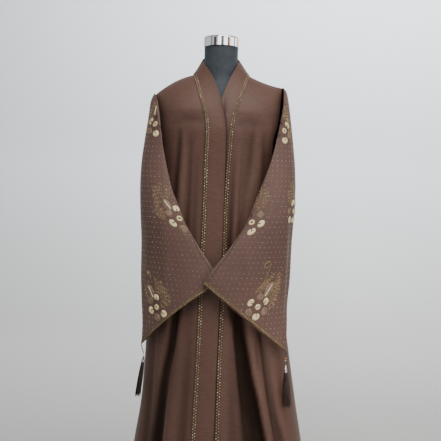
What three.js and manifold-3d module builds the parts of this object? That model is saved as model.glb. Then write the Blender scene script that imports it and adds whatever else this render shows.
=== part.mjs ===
// An open-front abaya with wide sleeves, standing on a limbless dress form.
// Millimetres, +Z up, the front faces -Y and +X is the viewer's right.
// The origin is the centre of the stand's underside.
// "left" and "right" are the viewer's, looking at the front.

import * as THREE from 'three';
import { mergeVertices } from 'three/addons/utils/BufferGeometryUtils.js';
import Module from 'manifold-3d';

const wasm = await Module();
wasm.setup();

// ---------------------------------------------------------------- driving dimensions

const CLOTH = 1.8; // wall of the crepe
const SEAM = 0.3; // between pieces that are sewn together
const BRAID = { width: 11, thick: 1.0, cuffLift: 0.6 };
const HEM_Z = 40; // the skirt ends this far above the floor
const CHEST_Z = 1330; // the yoke above it rounds over the shoulders
const UNDERARM_Z = 1150;
const RIDGE_Y = 2; // the shoulder seams lie in this plane
const SHOULDER = { neckZ: 1455, gap: 0.8 }; // the gap is left at the sleeve head
const SHOULDER_TIPS = { left: { x: -198.5, z: 1392, crown: 9 }, right: { x: 190, z: 1422, crown: -4 } };
const YOKE_ROUND = 1.5; // 1 is a straight slope, 2 a quarter ellipse
const BODY_ROUND = 2.3; // exponent of the body's rounded section
const LAP = { rise: 3.4, fullZ: 1372, freeZ: 1402 }; // left band over the right one
const COLLAR = { topX: 56, topY: 58, topZ: 1504, backRise: 16, neckDepth: 64, neckRise: 15 };
const FOLD_RADIUS = 4; // at the two long edges of a flattened sleeve
const SLEEVE_POINTS = 26;
const SLEEVE_RINGS = 16;

const STAND = { baseRadius: 160, baseHeight: 14, edge: 3, poleRadius: 12.5, poleTop: 781.7 };
const CAP = {
  radius: 52,
  bottom: 1540.3,
  side: 1568,
  bevel: 2,
  crown: { radius: 31, z: 1572 },
  top: 1573,
};
const FORM_POINTS = 24;

// Body of the garment: depth in front of and behind the seam plane, and width to
// the viewer's left and right, at each height.
const BODY = table('z front back left right', [
  [1330, 111, 92, 186, 186],
  [1285, 117, 95, 181, 183],
  [1230, 115, 96, 174, 176],
  [1150, 113, 98, 170, 172],
  [1050, 116, 104, 178, 180],
  [950, 121, 112, 189, 191],
  [850, 128, 122, 199, 204],
  [750, 135, 132, 206, 215],
  [650, 142, 143, 209, 229],
  [550, 151, 154, 213, 245],
  [440, 162, 168, 221, 263],
  [320, 175, 184, 239, 284],
  [180, 190, 202, 256, 300],
  [40, 204, 218, 268, 309],
]);

// Edge of each front where the armhole cuts it, out from the centre.
const ARMHOLE = table('z left right', [
  [1330, 184, 182],
  [1300, 179, 176],
  [1268, 173, 167],
  [1240, 168, 161],
  [1205, 163, 161],
  [1175, 164, 165],
  [1150, 170, 172],
]);

// Seam between each front and its band, and the band's free edge, across X.
const EDGES = table('z seamLeft freeLeft seamRight freeRight', [
  [1330, -44, 16, 50, -8],
  [1285, -39, 22, 44, -15],
  [1230, -40, 23, 41, -18],
  [1154, -41, 23, 36, -20],
  [1040, -42, 22, 33, -22],
  [930, -44, 21, 33, -22],
  [750, -46, 17, 30, -24],
  [600, -49, 14, 27, -27],
  [434, -54, 12, 26, -28],
  [250, -58, 9, 24, -31],
  [40, -62, 6, 22, -34],
]);

// The collar's free edge from the shoulder down to the chest (x from the centre).
const COLLAR_FREE = table('s z leftX rightX leftY rightY', [
  [0, 1504, -56, 56, 2, 2],
  [0.2, 1484, -48, 50, -30, -29],
  [0.4, 1459, -31, 38, -54, -53],
  [0.6, 1421, -13, 21, -78, -77],
  [0.8, 1372, 5, 4, -99.5, -96.5],
  [1, 1330, 16, -8, -110.4, -109],
]);
const SEAM_AT_SHOULDER = { left: -84, right: 90 };

// Long soft folds of the two fronts, from the bust to the hem: the trough's place
// across X, its depth and its half-width at each height.
const FRONT_FOLDS = {
  left: [
    table('z x depth width', [
      [1300, -85, 0, 12],
      [1220, -89, 6, 12],
      [1014, -95, 9, 13],
      [850, -108, 12, 14],
      [717, -123, 17, 16],
      [537, -140, 24, 18],
      [355, -159, 28, 21],
      [40, -182, 30, 27],
    ]),
    table('z x depth width', [
      [760, -168, 0, 12],
      [620, -181, 7, 12],
      [430, -193, 12, 14],
      [40, -226, 15, 18],
    ]),
    table('z x depth width', [
      [820, -66, 0, 10],
      [640, -74, 5, 12],
      [400, -90, 9, 15],
      [40, -108, 14, 20],
    ]),
  ],
  right: [
    table('z x depth width', [
      [1300, 82, 0, 12],
      [1225, 81, 6, 12],
      [1019, 74, 9, 13],
      [850, 74, 14, 13],
      [737, 76, 23, 14],
      [604, 99, 31, 16],
      [484, 124, 34, 19],
      [364, 157, 36, 22],
      [40, 205, 38, 28],
    ]),
    table('z x depth width', [
      [760, 140, 0, 12],
      [672, 152, 7, 12],
      [445, 189, 14, 14],
      [354, 211, 16, 15],
      [40, 254, 19, 19],
    ]),
    table('z x depth width', [
      [700, 52, 0, 10],
      [500, 62, 6, 13],
      [300, 80, 10, 17],
      [40, 108, 14, 22],
    ]),
  ],
};

const BACK_FOLDS = [
  table('z x depth width', [
    [1280, -108, 0, 14],
    [1050, -112, 7, 17],
    [700, -124, 16, 21],
    [40, -176, 26, 32],
  ]),
  table('z x depth width', [
    [1180, -42, 0, 14],
    [900, -48, 8, 18],
    [500, -58, 15, 24],
    [40, -84, 20, 31],
  ]),
  table('z x depth width', [
    [1080, 26, 0, 14],
    [760, 34, 9, 19],
    [400, 52, 17, 25],
    [40, 76, 22, 32],
  ]),
  table('z x depth width', [
    [1290, 100, 0, 14],
    [1000, 108, 9, 18],
    [640, 132, 18, 23],
    [40, 204, 27, 34],
  ]),
];

// Sleeves. A row is one section of the flattened tube: its inner fold (a), its outer
// fold (b), how far the outer and inner layers bow away from the line between them,
// and how far the middle of each lies above and below it.
const SLEEVE_COLUMNS = 'ax ay az bx by bz out inn rise drop';
const SLEEVES = {
  left: table(SLEEVE_COLUMNS, [
    [-176, -64, 1300, -170, 62, 1288, 27, 1, 100, 147],
    [-172, -75, 1268, -178, 70, 1262, 29, 2, 126, 143],
    [-167, -85, 1230, -187, 73, 1225, 36, 6, 140, 134],
    [-158, -93, 1190, -195, 71, 1185, 42, 9, 128, 122],
    [-147, -101, 1148, -204, 62, 1140, 51, 14, 106, 109],
    [-134, -110, 1102, -212, 48, 1090, 60, 20, 84, 92],
    [-113, -120, 1050, -220, 30, 1035, 66, 28, 60, 76],
    [-91, -129, 1000, -226, 8, 975, 64, 32, 36, 56],
    [-69, -135, 964, -228, -12, 910, 54, 30, 24, 38],
    [-45, -139, 928, -227, -34, 840, 44, 25, 16, 16],
    [-20, -142, 893, -222, -52, 770, 40, 22, 12, 2],
    [2, -144, 862, -216, -68, 700, 41, 23, 11, -8],
    [20, -145, 836, -216, -80, 634, 42, 24, 12, -14],
  ]),
  right: table(SLEEVE_COLUMNS, [
    [188, -66, 1300, 170, 62, 1290, 12.5, -2, 128, 148],
    [180, -78, 1266, 178, 70, 1262, 25, 1, 145, 142],
    [170, -87, 1230, 187, 73, 1225, 34, 5, 145, 133],
    [159, -95, 1190, 196, 70, 1185, 42, 8, 132, 121],
    [145, -103, 1150, 205, 60, 1140, 52, 13, 107, 109],
    [125, -112, 1102, 214, 46, 1090, 64, 20, 84, 91],
    [106, -123, 1050, 222, 28, 1035, 71, 28, 60, 74],
    [86, -134, 1000, 228, 4, 975, 69, 32, 36, 55],
    [64, -144, 966, 230, -22, 910, 58, 30, 22, 38],
    [38, -153, 930, 228, -48, 838, 48, 27, 12, 20],
    [10, -160, 893, 221, -70, 765, 40, 21, 6, 10],
    [-14, -165, 862, 220, -90, 694, 34, 15, 2, 4],
    [-32, -168, 830, 218, -106, 628, 29, 9, 0, 5],
  ]),
};

// The dress form, bottom to top.
const FORM = table('z half front back round', [
  [782, 40, 26, 26, 2],
  [784, 118, 68, 66, 2],
  [800, 150, 84, 84, 2.1],
  [850, 164, 96, 98, 2.2],
  [920, 162, 97, 96, 2.2],
  [1000, 146, 91, 84, 2.2],
  [1080, 134, 85, 76, 2.2],
  [1150, 148, 88, 80, 2.2],
  [1215, 164, 95, 84, 2.2],
  [1285, 173, 101, 86, 2.2],
  [1330, 178, 97, 83, 2.2],
  [1370, 177, 82, 76, 2],
  [1393, 171, 70, 69, 1.8],
  [1412, 156, 61, 63, 1.5],
  [1432, 126, 53, 57, 1.35],
  [1446.5, 95, 49, 53, 1.4],
  [1457, 68, 48, 51, 1.7],
  [1468, 55, 49, 50, 2],
  [1500, 51, 50, 50, 2],
  [1540, 50, 50, 50, 2],
]);

// Tassels at the lower corners of the cuffs: the axis from the bead down.
const TASSELS = {
  left: {
    bead: [-209, -81, 604],
    capTop: [-209, -81, 597],
    capBottom: [-211, -81, 579],
    end: [-225, -80, 472],
    spread: 8.5,
  },
  right: {
    bead: [218, -108, 601],
    capTop: [219, -109, 588],
    capBottom: [220, -110, 567],
    end: [224, -115, 457],
    spread: 13.5,
  },
};
const TASSEL = {
  below: 0.4, // from the cuff's corner down to the cord
  cord: 0.8,
  bead: 2.7,
  capTop: 2.2,
  capBottom: 5.4,
  strand: 0.85,
  strands: 26,
  root: 3, // each strand starts this far up inside the cap
  waist: 0.45, // share of the length at which the bundle is nearly full
  waistFill: 0.7,
  uneven: 5, // step between the three lengths of strand
};

// ---------------------------------------------------------------- small tools

function table(columns, rows) {
  const names = columns.split(' ');
  return rows.map((row) => Object.fromEntries(names.map((name, i) => [name, row[i]])));
}

function mix(a, b, t) {
  return a + (b - a) * t;
}

// A smooth curve through a table's column: the tables run down one monotone column.
function along(rows, key, by, at) {
  const up = rows[rows.length - 1][by] > rows[0][by];
  const before = (row) => (up ? row[by] <= at : row[by] >= at);
  let i = 0;
  while (i < rows.length - 2 && before(rows[i + 1])) i += 1;
  const slope = (k) => {
    const lo = rows[Math.max(k - 1, 0)];
    const hi = rows[Math.min(k + 1, rows.length - 1)];
    return (hi[key] - lo[key]) / (hi[by] - lo[by]);
  };
  const [p, q] = [rows[i], rows[i + 1]];
  const span = q[by] - p[by];
  const t = THREE.MathUtils.clamp((at - p[by]) / span, 0, 1);
  const t2 = t * t;
  const t3 = t2 * t;
  return (
    (2 * t3 - 3 * t2 + 1) * p[key] +
    (t3 - 2 * t2 + t) * span * slope(i) +
    (3 * t2 - 2 * t3) * q[key] +
    (t3 - t2) * span * slope(i + 1)
  );
}

// Outward normals of a grid of points; wrap closes the columns into a ring.
function gridNormals(grid, wrap, turn) {
  return grid.map((row, i) =>
    row.map((_, j) => {
      const n = row.length;
      const jPrev = wrap ? (j + n - 1) % n : Math.max(j - 1, 0);
      const jNext = wrap ? (j + 1) % n : Math.min(j + 1, n - 1);
      const iPrev = Math.max(i - 1, 0);
      const iNext = Math.min(i + 1, grid.length - 1);
      const across = row[jNext].clone().sub(row[jPrev]);
      const down = grid[iNext][j].clone().sub(grid[iPrev][j]);
      return across.cross(down).normalize().multiplyScalar(turn);
    }),
  );
}

function solidFrom(points, faces) {
  const geometry = new THREE.BufferGeometry();
  geometry.setAttribute('position', new THREE.Float32BufferAttribute(points, 3));
  geometry.setIndex(faces);
  let volume = 0;
  const at = (k) => new THREE.Vector3().fromArray(points, 3 * k);
  for (let f = 0; f < faces.length; f += 3) {
    volume += at(faces[f]).dot(at(faces[f + 1]).cross(at(faces[f + 2])));
  }
  if (volume < 0) {
    for (let f = 0; f < faces.length; f += 3) {
      [faces[f + 1], faces[f + 2]] = [faces[f + 2], faces[f + 1]];
    }
    geometry.setIndex(faces);
  }
  return geometry;
}

// A wall between two grids of the same size, closed at its free edges.
function wall(outer, inner, wrap) {
  const rows = outer.length;
  const cols = outer[0].length;
  const points = [...outer.flat(), ...inner.flat()].flatMap((p) => p.toArray());
  const top = (i, j) => i * cols + (j % cols);
  const low = (i, j) => rows * cols + top(i, j);
  const faces = [];
  const quad = (a, b, c, d) => faces.push(a, b, c, a, c, d);
  const lastCol = wrap ? cols : cols - 1;
  for (let i = 0; i < rows - 1; i += 1) {
    for (let j = 0; j < lastCol; j += 1) {
      quad(top(i, j), top(i + 1, j), top(i + 1, j + 1), top(i, j + 1));
      quad(low(i, j), low(i, j + 1), low(i + 1, j + 1), low(i + 1, j));
    }
  }
  for (let j = 0; j < lastCol; j += 1) {
    quad(top(0, j), top(0, j + 1), low(0, j + 1), low(0, j));
    quad(top(rows - 1, j), low(rows - 1, j), low(rows - 1, j + 1), top(rows - 1, j + 1));
  }
  if (!wrap) {
    for (let i = 0; i < rows - 1; i += 1) {
      quad(top(i, 0), low(i, 0), low(i + 1, 0), top(i + 1, 0));
      quad(top(i, cols - 1), top(i + 1, cols - 1), low(i + 1, cols - 1), low(i, cols - 1));
    }
  }
  return solidFrom(points, faces);
}

function moved(grid, normals, distance) {
  return grid.map((row, i) =>
    row.map((p, j) => p.clone().addScaledVector(normals[i][j], distance)),
  );
}

// A solid through closed rings, with a flat cap at each end.
function loft(rings) {
  const cols = rings[0].length;
  const points = rings.flat().flatMap((p) => p.toArray());
  const faces = [];
  for (let i = 0; i < rings.length - 1; i += 1) {
    for (let j = 0; j < cols; j += 1) {
      const k = (j + 1) % cols;
      const [a, b] = [i * cols + j, i * cols + k];
      faces.push(a, b, b + cols, a, b + cols, a + cols);
    }
  }
  const last = (rings.length - 1) * cols;
  for (let j = 1; j < cols - 1; j += 1) {
    faces.push(0, j + 1, j, last, last + j, last + j + 1);
  }
  return solidFrom(points, faces);
}

function toManifold(geometry) {
  const bare = geometry.clone();
  bare.deleteAttribute('normal');
  bare.deleteAttribute('uv');
  const merged = mergeVertices(bare, 1e-4);
  const mesh = new wasm.Mesh({
    numProp: 3,
    vertProperties: new Float32Array(merged.attributes.position.array),
    triVerts: new Uint32Array(merged.index.array),
  });
  return new wasm.Manifold(mesh);
}

function joined(geometries) {
  const whole = geometries.map(toManifold).reduce((sum, part) => sum.add(part));
  const { vertProperties, triVerts } = whole.getMesh();
  const geometry = new THREE.BufferGeometry();
  geometry.setAttribute('position', new THREE.Float32BufferAttribute(vertProperties, 3));
  geometry.setIndex(Array.from(triVerts));
  return geometry;
}

// ---------------------------------------------------------------- the garment's surface

// Signed power, for rounded sections.
function rounded(value, exponent) {
  return Math.sign(value) * Math.abs(value) ** (2 / exponent);
}

function bodyWidth(side, z) {
  return along(BODY, side, 'z', z);
}

// Angle round the body's section, 0 at the centre and 90 degrees at the side seam.
function angleAt(x, width) {
  const part = THREE.MathUtils.clamp(Math.abs(x) / width, 0, 1);
  return Math.sign(x) * Math.asin(part ** (BODY_ROUND / 2));
}

function foldDepth(folds, x, z) {
  return folds.reduce((sum, fold) => {
    if (z > fold[0].z) return sum;
    const gap = (x - along(fold, 'x', 'z', z)) / along(fold, 'width', 'z', z);
    return sum + along(fold, 'depth', 'z', z) * Math.exp(-gap * gap);
  }, 0);
}

// A point of the body below the yoke. face is 'front' or 'back'.
function bodyPoint(face, x, z) {
  const side = x < 0 ? 'left' : 'right';
  const width = bodyWidth(side, z);
  const angle = angleAt(x, width);
  const depth = along(BODY, face, 'z', z);
  const y = (face === 'front' ? -1 : 1) * depth * rounded(Math.cos(angle), BODY_ROUND);
  const folds = face === 'front' ? FRONT_FOLDS[side] : BACK_FOLDS;
  const fold = foldDepth(folds, x, z);
  const inward = new THREE.Vector3(
    (-Math.sign(x) * Math.abs(Math.sin(angle))) / width,
    (face === 'front' ? 1 : -1) * (Math.cos(angle) / depth),
    0,
  ).normalize();
  return new THREE.Vector3(x, y, z).addScaledVector(inward, fold);
}

// Height of the shoulder seam, which is a little crowned, between the neck and the tip.
function shoulderZ(x, neckX, tip) {
  const share = (x - neckX) / (tip.x - neckX);
  return mix(SHOULDER.neckZ, tip.z, share) + tip.crown * 4 * share * (1 - share);
}

// How far round the shoulder a yoke point has come forward, at a share of its drop.
function yokeShare(drop) {
  return (1 - (1 - drop) ** YOKE_ROUND) ** (1 / YOKE_ROUND);
}

const YOKE_ROWS = [0, 0.05, 0.16, 0.33, 0.55, 0.78, 1];
const COLLAR_DROPS = [0, 0.05, 0.16, 0.33, 0.55, 1]; // where the bands' seams have a row
const LOWER_ROWS = [
  1300, 1268, 1235, 1195, 1150, 1095, 1030, 960, 890, 820, 750, 685, 620, 555, 490, 420, 340, 250,
  150, HEM_Z,
];

// ---------------------------------------------------------------- front panels

const FRONT_COLUMNS = 19;

function frontGrid(side) {
  const sign = side === 'left' ? -1 : 1;
  const seam = side === 'left' ? 'seamLeft' : 'seamRight';
  const rowAt = (z) => {
    const width = bodyWidth(side, z);
    const edge = z > UNDERARM_Z ? along(ARMHOLE, side, 'z', z) : width;
    const from = angleAt(along(EDGES, seam, 'z', z) + sign * SEAM, width);
    const to = angleAt(sign * edge, width);
    return Array.from({ length: FRONT_COLUMNS }, (_, j) => {
      const angle = mix(from, to, j / (FRONT_COLUMNS - 1));
      const x = width * rounded(Math.sin(angle), BODY_ROUND);
      return bodyPoint('front', x, z);
    });
  };
  const chest = rowAt(CHEST_Z);
  const neckX = SEAM_AT_SHOULDER[side] + sign * SEAM;
  const [first, last] = [chest[0].x, chest[FRONT_COLUMNS - 1].x];
  const tip = SHOULDER_TIPS[side];
  const yoke = YOKE_ROWS.slice(0, -1).map((drop) =>
    chest.map((p) => {
      const share = (p.x - first) / (last - first);
      const topX = mix(neckX, tip.x, share);
      const y = mix(RIDGE_Y - SEAM / 2, p.y, yokeShare(drop));
      const z = mix(shoulderZ(topX, neckX, tip), CHEST_Z, drop);
      return new THREE.Vector3(mix(topX, p.x, drop), y, z);
    }),
  );
  const lower = LOWER_ROWS.map(rowAt);
  // The front and back walls meet face to face at the side seam.
  lower.forEach((row) => {
    const edge = row[FRONT_COLUMNS - 1];
    if (edge.z <= UNDERARM_Z) edge.y = -SEAM / 2;
  });
  return [...yoke, chest, ...lower];
}

// Along a seam the wall goes straight in, so that two pieces meet squarely: along the
// shoulder and side seams there is no tilt to the front or back, and along the armhole
// none towards the sleeve.
function squareSeams(grid, normals, sideColumns) {
  normals[0].forEach((n) => n.set(n.x, 0, Math.max(n.z, 0.5)).normalize());
  grid.forEach((row, i) => {
    sideColumns.forEach((j) => {
      const n = normals[i][j];
      if (row[j].z <= UNDERARM_Z) n.setY(0).normalize();
      else n.setX(0).normalize();
    });
  });
}

// The same down the seam between a front and its band, which faces sideways.
function squareBandSeam(grid, normals) {
  grid.forEach((row, i) => {
    if (row[0].z <= CHEST_Z) normals[i][0].setX(0).normalize();
  });
}

function frontPanel(side) {
  const grid = frontGrid(side);
  const normals = gridNormals(grid, false, side === 'left' ? 1 : -1);
  squareSeams(grid, normals, [FRONT_COLUMNS - 1]);
  squareBandSeam(grid, normals);
  return wall(grid, moved(grid, normals, -CLOTH), false);
}

// ---------------------------------------------------------------- sleeves

// A point of a sleeve's outer face: down is 0 at the armhole and 1 at the cuff, and
// turn runs once round the tube, from the inner fold over the outer layer.
function sleevePoint(side, down, turn) {
  const rows = SLEEVES[side].map((row, k) => ({ ...row, k }));
  const at = (key) => along(rows, key, 'k', down * (rows.length - 1));
  const a = new THREE.Vector3(at('ax'), at('ay'), at('az'));
  const b = new THREE.Vector3(at('bx'), at('by'), at('bz'));
  const chord = b.clone().sub(a);
  const away = new THREE.Vector3(chord.y, -chord.x, 0).normalize();
  if (side === 'left') away.negate();
  const outer = away.clone().multiplyScalar(at('out'));
  outer.z = at('rise');
  const inner = away.clone().multiplyScalar(at('inn'));
  inner.z = -at('drop');
  const bow = outer.clone().add(inner).multiplyScalar(0.5);
  const half = outer.clone().sub(inner).multiplyScalar(0.5);
  const step = Math.sin((2 * Math.PI) / SLEEVE_POINTS);
  const blunt = Math.log(half.length() / FOLD_RADIUS) / Math.log(1 / step);
  const sharpness = THREE.MathUtils.clamp(blunt, 0.3, 0.8);
  const s = Math.sin(turn);
  return a
    .addScaledVector(chord, (1 - Math.cos(turn)) / 2)
    .addScaledVector(bow, s * s)
    .addScaledVector(half, Math.sign(s) * Math.abs(s) ** sharpness);
}

function sleeveGrid(side, downs) {
  return downs.map((down) =>
    Array.from({ length: SLEEVE_POINTS }, (_, j) =>
      sleevePoint(side, down, (2 * Math.PI * j) / SLEEVE_POINTS),
    ),
  );
}

const SLEEVE_DOWNS = Array.from({ length: SLEEVE_RINGS }, (_, i) => i / (SLEEVE_RINGS - 1));

function sleeve(side) {
  const grid = sleeveGrid(side, SLEEVE_DOWNS);
  const normals = gridNormals(grid, true, side === 'left' ? 1 : -1);
  // The armhole end is cut square to X, facing the body.
  normals[0].forEach((n) => n.set(0, n.y, n.z).normalize());
  return wall(grid, moved(grid, normals, -CLOTH), true);
}

// The braid lies on the sleeve's last flat facets, one braid's width up from the hem.
function cuffBraid(side) {
  const [above, hem] = sleeveGrid(side, SLEEVE_DOWNS.slice(-2));
  const top = hem.map((p, j) => p.clone().lerp(above[j], BRAID.width / p.distanceTo(above[j])));
  const grid = [top, hem];
  const normals = gridNormals(grid, true, side === 'left' ? 1 : -1);
  const outer = moved(grid, normals, BRAID.cuffLift + BRAID.thick);
  return wall(outer, moved(grid, normals, BRAID.cuffLift), true);
}

// ---------------------------------------------------------------- back panels

const COLLAR_TURNS = [90, 66, 44, 22].map(THREE.MathUtils.degToRad);
const SHOULDER_COLUMNS = 4;
const BACK_HALF = COLLAR_TURNS.length + SHOULDER_COLUMNS;

// Back half of the sleeve's armhole end at a height, as the back's edge.
function armholeBack(side, z) {
  const ring = sleeveGrid(side, [0])[0];
  const half = SLEEVE_POINTS / 2;
  const quarter = Math.floor(SLEEVE_POINTS / 4);
  for (let j = quarter; j < half + quarter; j += 1) {
    const [p, q] = [ring[j], ring[j + 1]];
    if (p.z >= z && q.z <= z && p.y >= -5) {
      return p.clone().lerp(q, (p.z - z) / (p.z - q.z));
    }
  }
  return ring[quarter + 1].clone();
}

// Top edge of the back at a column: half an ellipse round the neck, whose columns are
// the collar's, then straight along the shoulder.
function backTop(side, column) {
  const sign = side === 'left' ? -1 : 1;
  const neckX = SEAM_AT_SHOULDER[side];
  const tip = SHOULDER_TIPS[side];
  const ridge = RIDGE_Y + SEAM / 2;
  if (column < COLLAR_TURNS.length) {
    const [c, s] = [Math.cos(COLLAR_TURNS[column]), Math.sin(COLLAR_TURNS[column])];
    return new THREE.Vector3(
      (neckX + sign * SEAM) * c,
      ridge + (COLLAR.neckDepth + SEAM) * s,
      SHOULDER.neckZ + COLLAR.neckRise * s,
    );
  }
  const x = mix(neckX, tip.x, (column - COLLAR_TURNS.length) / SHOULDER_COLUMNS);
  return new THREE.Vector3(x, ridge, shoulderZ(x, neckX, tip));
}

function backHalfRow(side, z) {
  const sign = side === 'left' ? -1 : 1;
  const width = bodyWidth(side, z);
  const armhole = z > UNDERARM_Z ? armholeBack(side, z) : null;
  const edgeX = armhole ? armhole.x - sign * SHOULDER.gap : sign * width;
  const to = angleAt(edgeX, width);
  return Array.from({ length: BACK_HALF + 1 }, (_, j) => {
    const share = j / BACK_HALF;
    const point = bodyPoint('back', width * rounded(Math.sin(to * share), BODY_ROUND), z);
    if (armhole) point.y += (armhole.y - bodyPoint('back', edgeX, z).y) * share ** 4;
    else if (j === BACK_HALF) point.y = SEAM / 2;
    return point;
  });
}

// From the centre seam out to the side.
function backGrid(side) {
  const sign = side === 'left' ? -1 : 1;
  const chest = backHalfRow(side, CHEST_Z);
  const yoke = YOKE_ROWS.slice(0, -1).map((drop) =>
    chest.map((p, j) => {
      const top = backTop(side, j);
      const point = new THREE.Vector3(
        mix(top.x, p.x, drop),
        mix(top.y, p.y, yokeShare(drop)),
        mix(top.z, p.z, drop),
      );
      if (j === BACK_HALF && drop > 0) {
        const edge = armholeBack(side, point.z);
        point.x = edge.x - sign * SHOULDER.gap;
        point.y = edge.y;
      }
      return point;
    }),
  );
  const grid = [...yoke, chest, ...LOWER_ROWS.map((z) => backHalfRow(side, z))];
  grid.forEach((row) => row[0].setX((sign * SEAM) / 2));
  return grid;
}

function backPanel(side) {
  const grid = backGrid(side);
  const normals = gridNormals(grid, false, side === 'left' ? -1 : 1);
  squareSeams(grid, normals, [BACK_HALF]);
  grid.forEach((_, i) => normals[i][0].setX(0).normalize());
  return wall(grid, moved(grid, normals, -CLOTH), false);
}

// ---------------------------------------------------------------- bands and braids

const BAND_COLUMNS = 4;

// Seam edge and free edge of a band, from the centre back down to the hem.
function bandEdges(side) {
  const sign = side === 'left' ? -1 : 1;
  const neckX = SEAM_AT_SHOULDER[side];
  const rows = COLLAR_TURNS.map((turn) => {
    const [c, s] = [Math.cos(turn), Math.sin(turn)];
    const out = Math.max(Math.abs(neckX) * c, SEAM / 2) * sign;
    const top = Math.max(COLLAR.topX * c, SEAM / 2) * sign;
    return [
      new THREE.Vector3(out, RIDGE_Y + COLLAR.neckDepth * s, SHOULDER.neckZ + COLLAR.neckRise * s),
      new THREE.Vector3(top, RIDGE_Y + COLLAR.topY * s, COLLAR.topZ + COLLAR.backRise * s),
    ];
  });
  const seamX = along(EDGES, side === 'left' ? 'seamLeft' : 'seamRight', 'z', CHEST_Z);
  const chest = bodyPoint('front', seamX, CHEST_Z);
  COLLAR_DROPS.forEach((drop, k) => {
    const s = k / (COLLAR_DROPS.length - 1);
    const seam = new THREE.Vector3(
      mix(neckX, chest.x, drop),
      mix(RIDGE_Y, chest.y, yokeShare(drop)),
      mix(SHOULDER.neckZ, CHEST_Z, drop),
    );
    const free = new THREE.Vector3(
      along(COLLAR_FREE, `${side}X`, 's', s),
      along(COLLAR_FREE, `${side}Y`, 's', s),
      along(COLLAR_FREE, 'z', 's', s),
    );
    rows.push([seam, free]);
  });
  return rows;
}

function bandGrid(side, shares) {
  const lap = (z) => {
    if (side === 'right') return 0;
    const share = (LAP.freeZ - z) / (LAP.freeZ - LAP.fullZ);
    return LAP.rise * THREE.MathUtils.clamp(share, 0, 1);
  };
  const upper = bandEdges(side).map(([seam, free]) =>
    shares(seam.distanceTo(free)).map((share) => {
      const p = seam.clone().lerp(free, share);
      p.y -= p.y < 0 ? lap(p.z) : 0;
      return p;
    }),
  );
  const [seamKey, freeKey] = side === 'left' ? ['seamLeft', 'freeLeft'] : ['seamRight', 'freeRight'];
  const lower = LOWER_ROWS.map((z) => {
    const [from, to] = [along(EDGES, seamKey, 'z', z), along(EDGES, freeKey, 'z', z)];
    return shares(Math.abs(to - from)).map((share) => {
      const p = bodyPoint('front', mix(from, to, share), z);
      p.y -= lap(z);
      return p;
    });
  });
  return [...upper, ...lower];
}

function evenShares() {
  return Array.from({ length: BAND_COLUMNS }, (_, j) => j / (BAND_COLUMNS - 1));
}

function bandNormals(grid, side) {
  const normals = gridNormals(grid, false, side === 'left' ? -1 : 1);
  // At the centre back the two bands meet face to face.
  normals[0].forEach((n) => n.set(0, n.y, n.z).normalize());
  squareBandSeam(grid, normals);
  return normals;
}

function frontBand(side) {
  const grid = bandGrid(side, evenShares);
  return wall(grid, moved(grid, bandNormals(grid, side), -CLOTH), false);
}

function frontBraid(side) {
  const margin = 0.5;
  const shares = (width) => [margin / width, (margin + BRAID.width) / width];
  const grid = bandGrid(side, shares);
  const normals = bandNormals(grid, side);
  return wall(moved(grid, normals, SEAM + BRAID.thick), moved(grid, normals, SEAM), false);
}

// ---------------------------------------------------------------- tassels

function ringAt(centre, radius, count) {
  return Array.from({ length: count }, (_, j) => {
    const turn = (2 * Math.PI * j) / count;
    return new THREE.Vector3(
      centre.x + radius * Math.cos(turn),
      centre.y + radius * Math.sin(turn),
      centre.z,
    );
  });
}

function ball(centre, radius) {
  return new THREE.SphereGeometry(radius, 10, 7).translate(...centre);
}

// The cord hangs from the cuff's lower corner, where it is sewn under the braid.
function tasselCord(side) {
  const [inner, corner] = [sleevePoint(side, 1, 0), sleevePoint(side, 1, Math.PI)];
  const outward = corner.clone().sub(inner).setZ(0).normalize();
  const top = corner.addScaledVector(outward, BRAID.cuffLift + BRAID.thick);
  top.z -= TASSEL.below;
  const { bead, capTop } = TASSELS[side];
  const end = new THREE.Vector3(...capTop);
  end.z += SEAM;
  const rings = [end, new THREE.Vector3(...bead), top].map((p) => ringAt(p, TASSEL.cord, 6));
  return joined([loft(rings), ball(bead, TASSEL.bead)]);
}

// The metal cap with the strands that hang from it, spread in a sunflower's order.
function tassel(side) {
  const { capTop, capBottom, end, spread } = TASSELS[side];
  const [a, b, c] = [capTop, capBottom, end].map((p) => new THREE.Vector3(...p));
  const cap = loft([ringAt(b, TASSEL.capBottom, 16), ringAt(a, TASSEL.capTop, 16)]);
  const golden = Math.PI * (3 - Math.sqrt(5));
  const strands = Array.from({ length: TASSEL.strands }, (_, k) => {
    const share = Math.sqrt((k + 0.5) / TASSEL.strands);
    const turn = k * golden;
    const place = (centre, radius, z) =>
      new THREE.Vector3(
        centre.x + radius * share * Math.cos(turn),
        centre.y + radius * share * Math.sin(turn),
        z,
      );
    const root = place(b, TASSEL.capBottom - TASSEL.strand, b.z + TASSEL.root);
    const waist = b.clone().lerp(c, TASSEL.waist);
    const middle = place(waist, mix(TASSEL.capBottom, spread, TASSEL.waistFill), waist.z);
    const tip = place(c, spread, c.z + TASSEL.uneven * (k % 3));
    return loft([tip, middle, root].map((p) => ringAt(p, TASSEL.strand, 3)));
  });
  return joined([cap, ...strands]);
}

// ---------------------------------------------------------------- dress form and stand

function formTorso() {
  const rings = FORM.map((row) =>
    Array.from({ length: FORM_POINTS }, (_, j) => {
      const turn = (2 * Math.PI * j) / FORM_POINTS;
      const y = rounded(Math.sin(turn), row.round);
      const x = rounded(Math.cos(turn), row.round);
      return new THREE.Vector3(row.half * x, y * (y < 0 ? row.front : row.back), row.z);
    }),
  );
  return loft(rings);
}

function lathe(profile, segments) {
  const points = profile.map(([r, z]) => new THREE.Vector2(r, z));
  return new THREE.LatheGeometry(points, segments).rotateX(Math.PI / 2);
}

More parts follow.
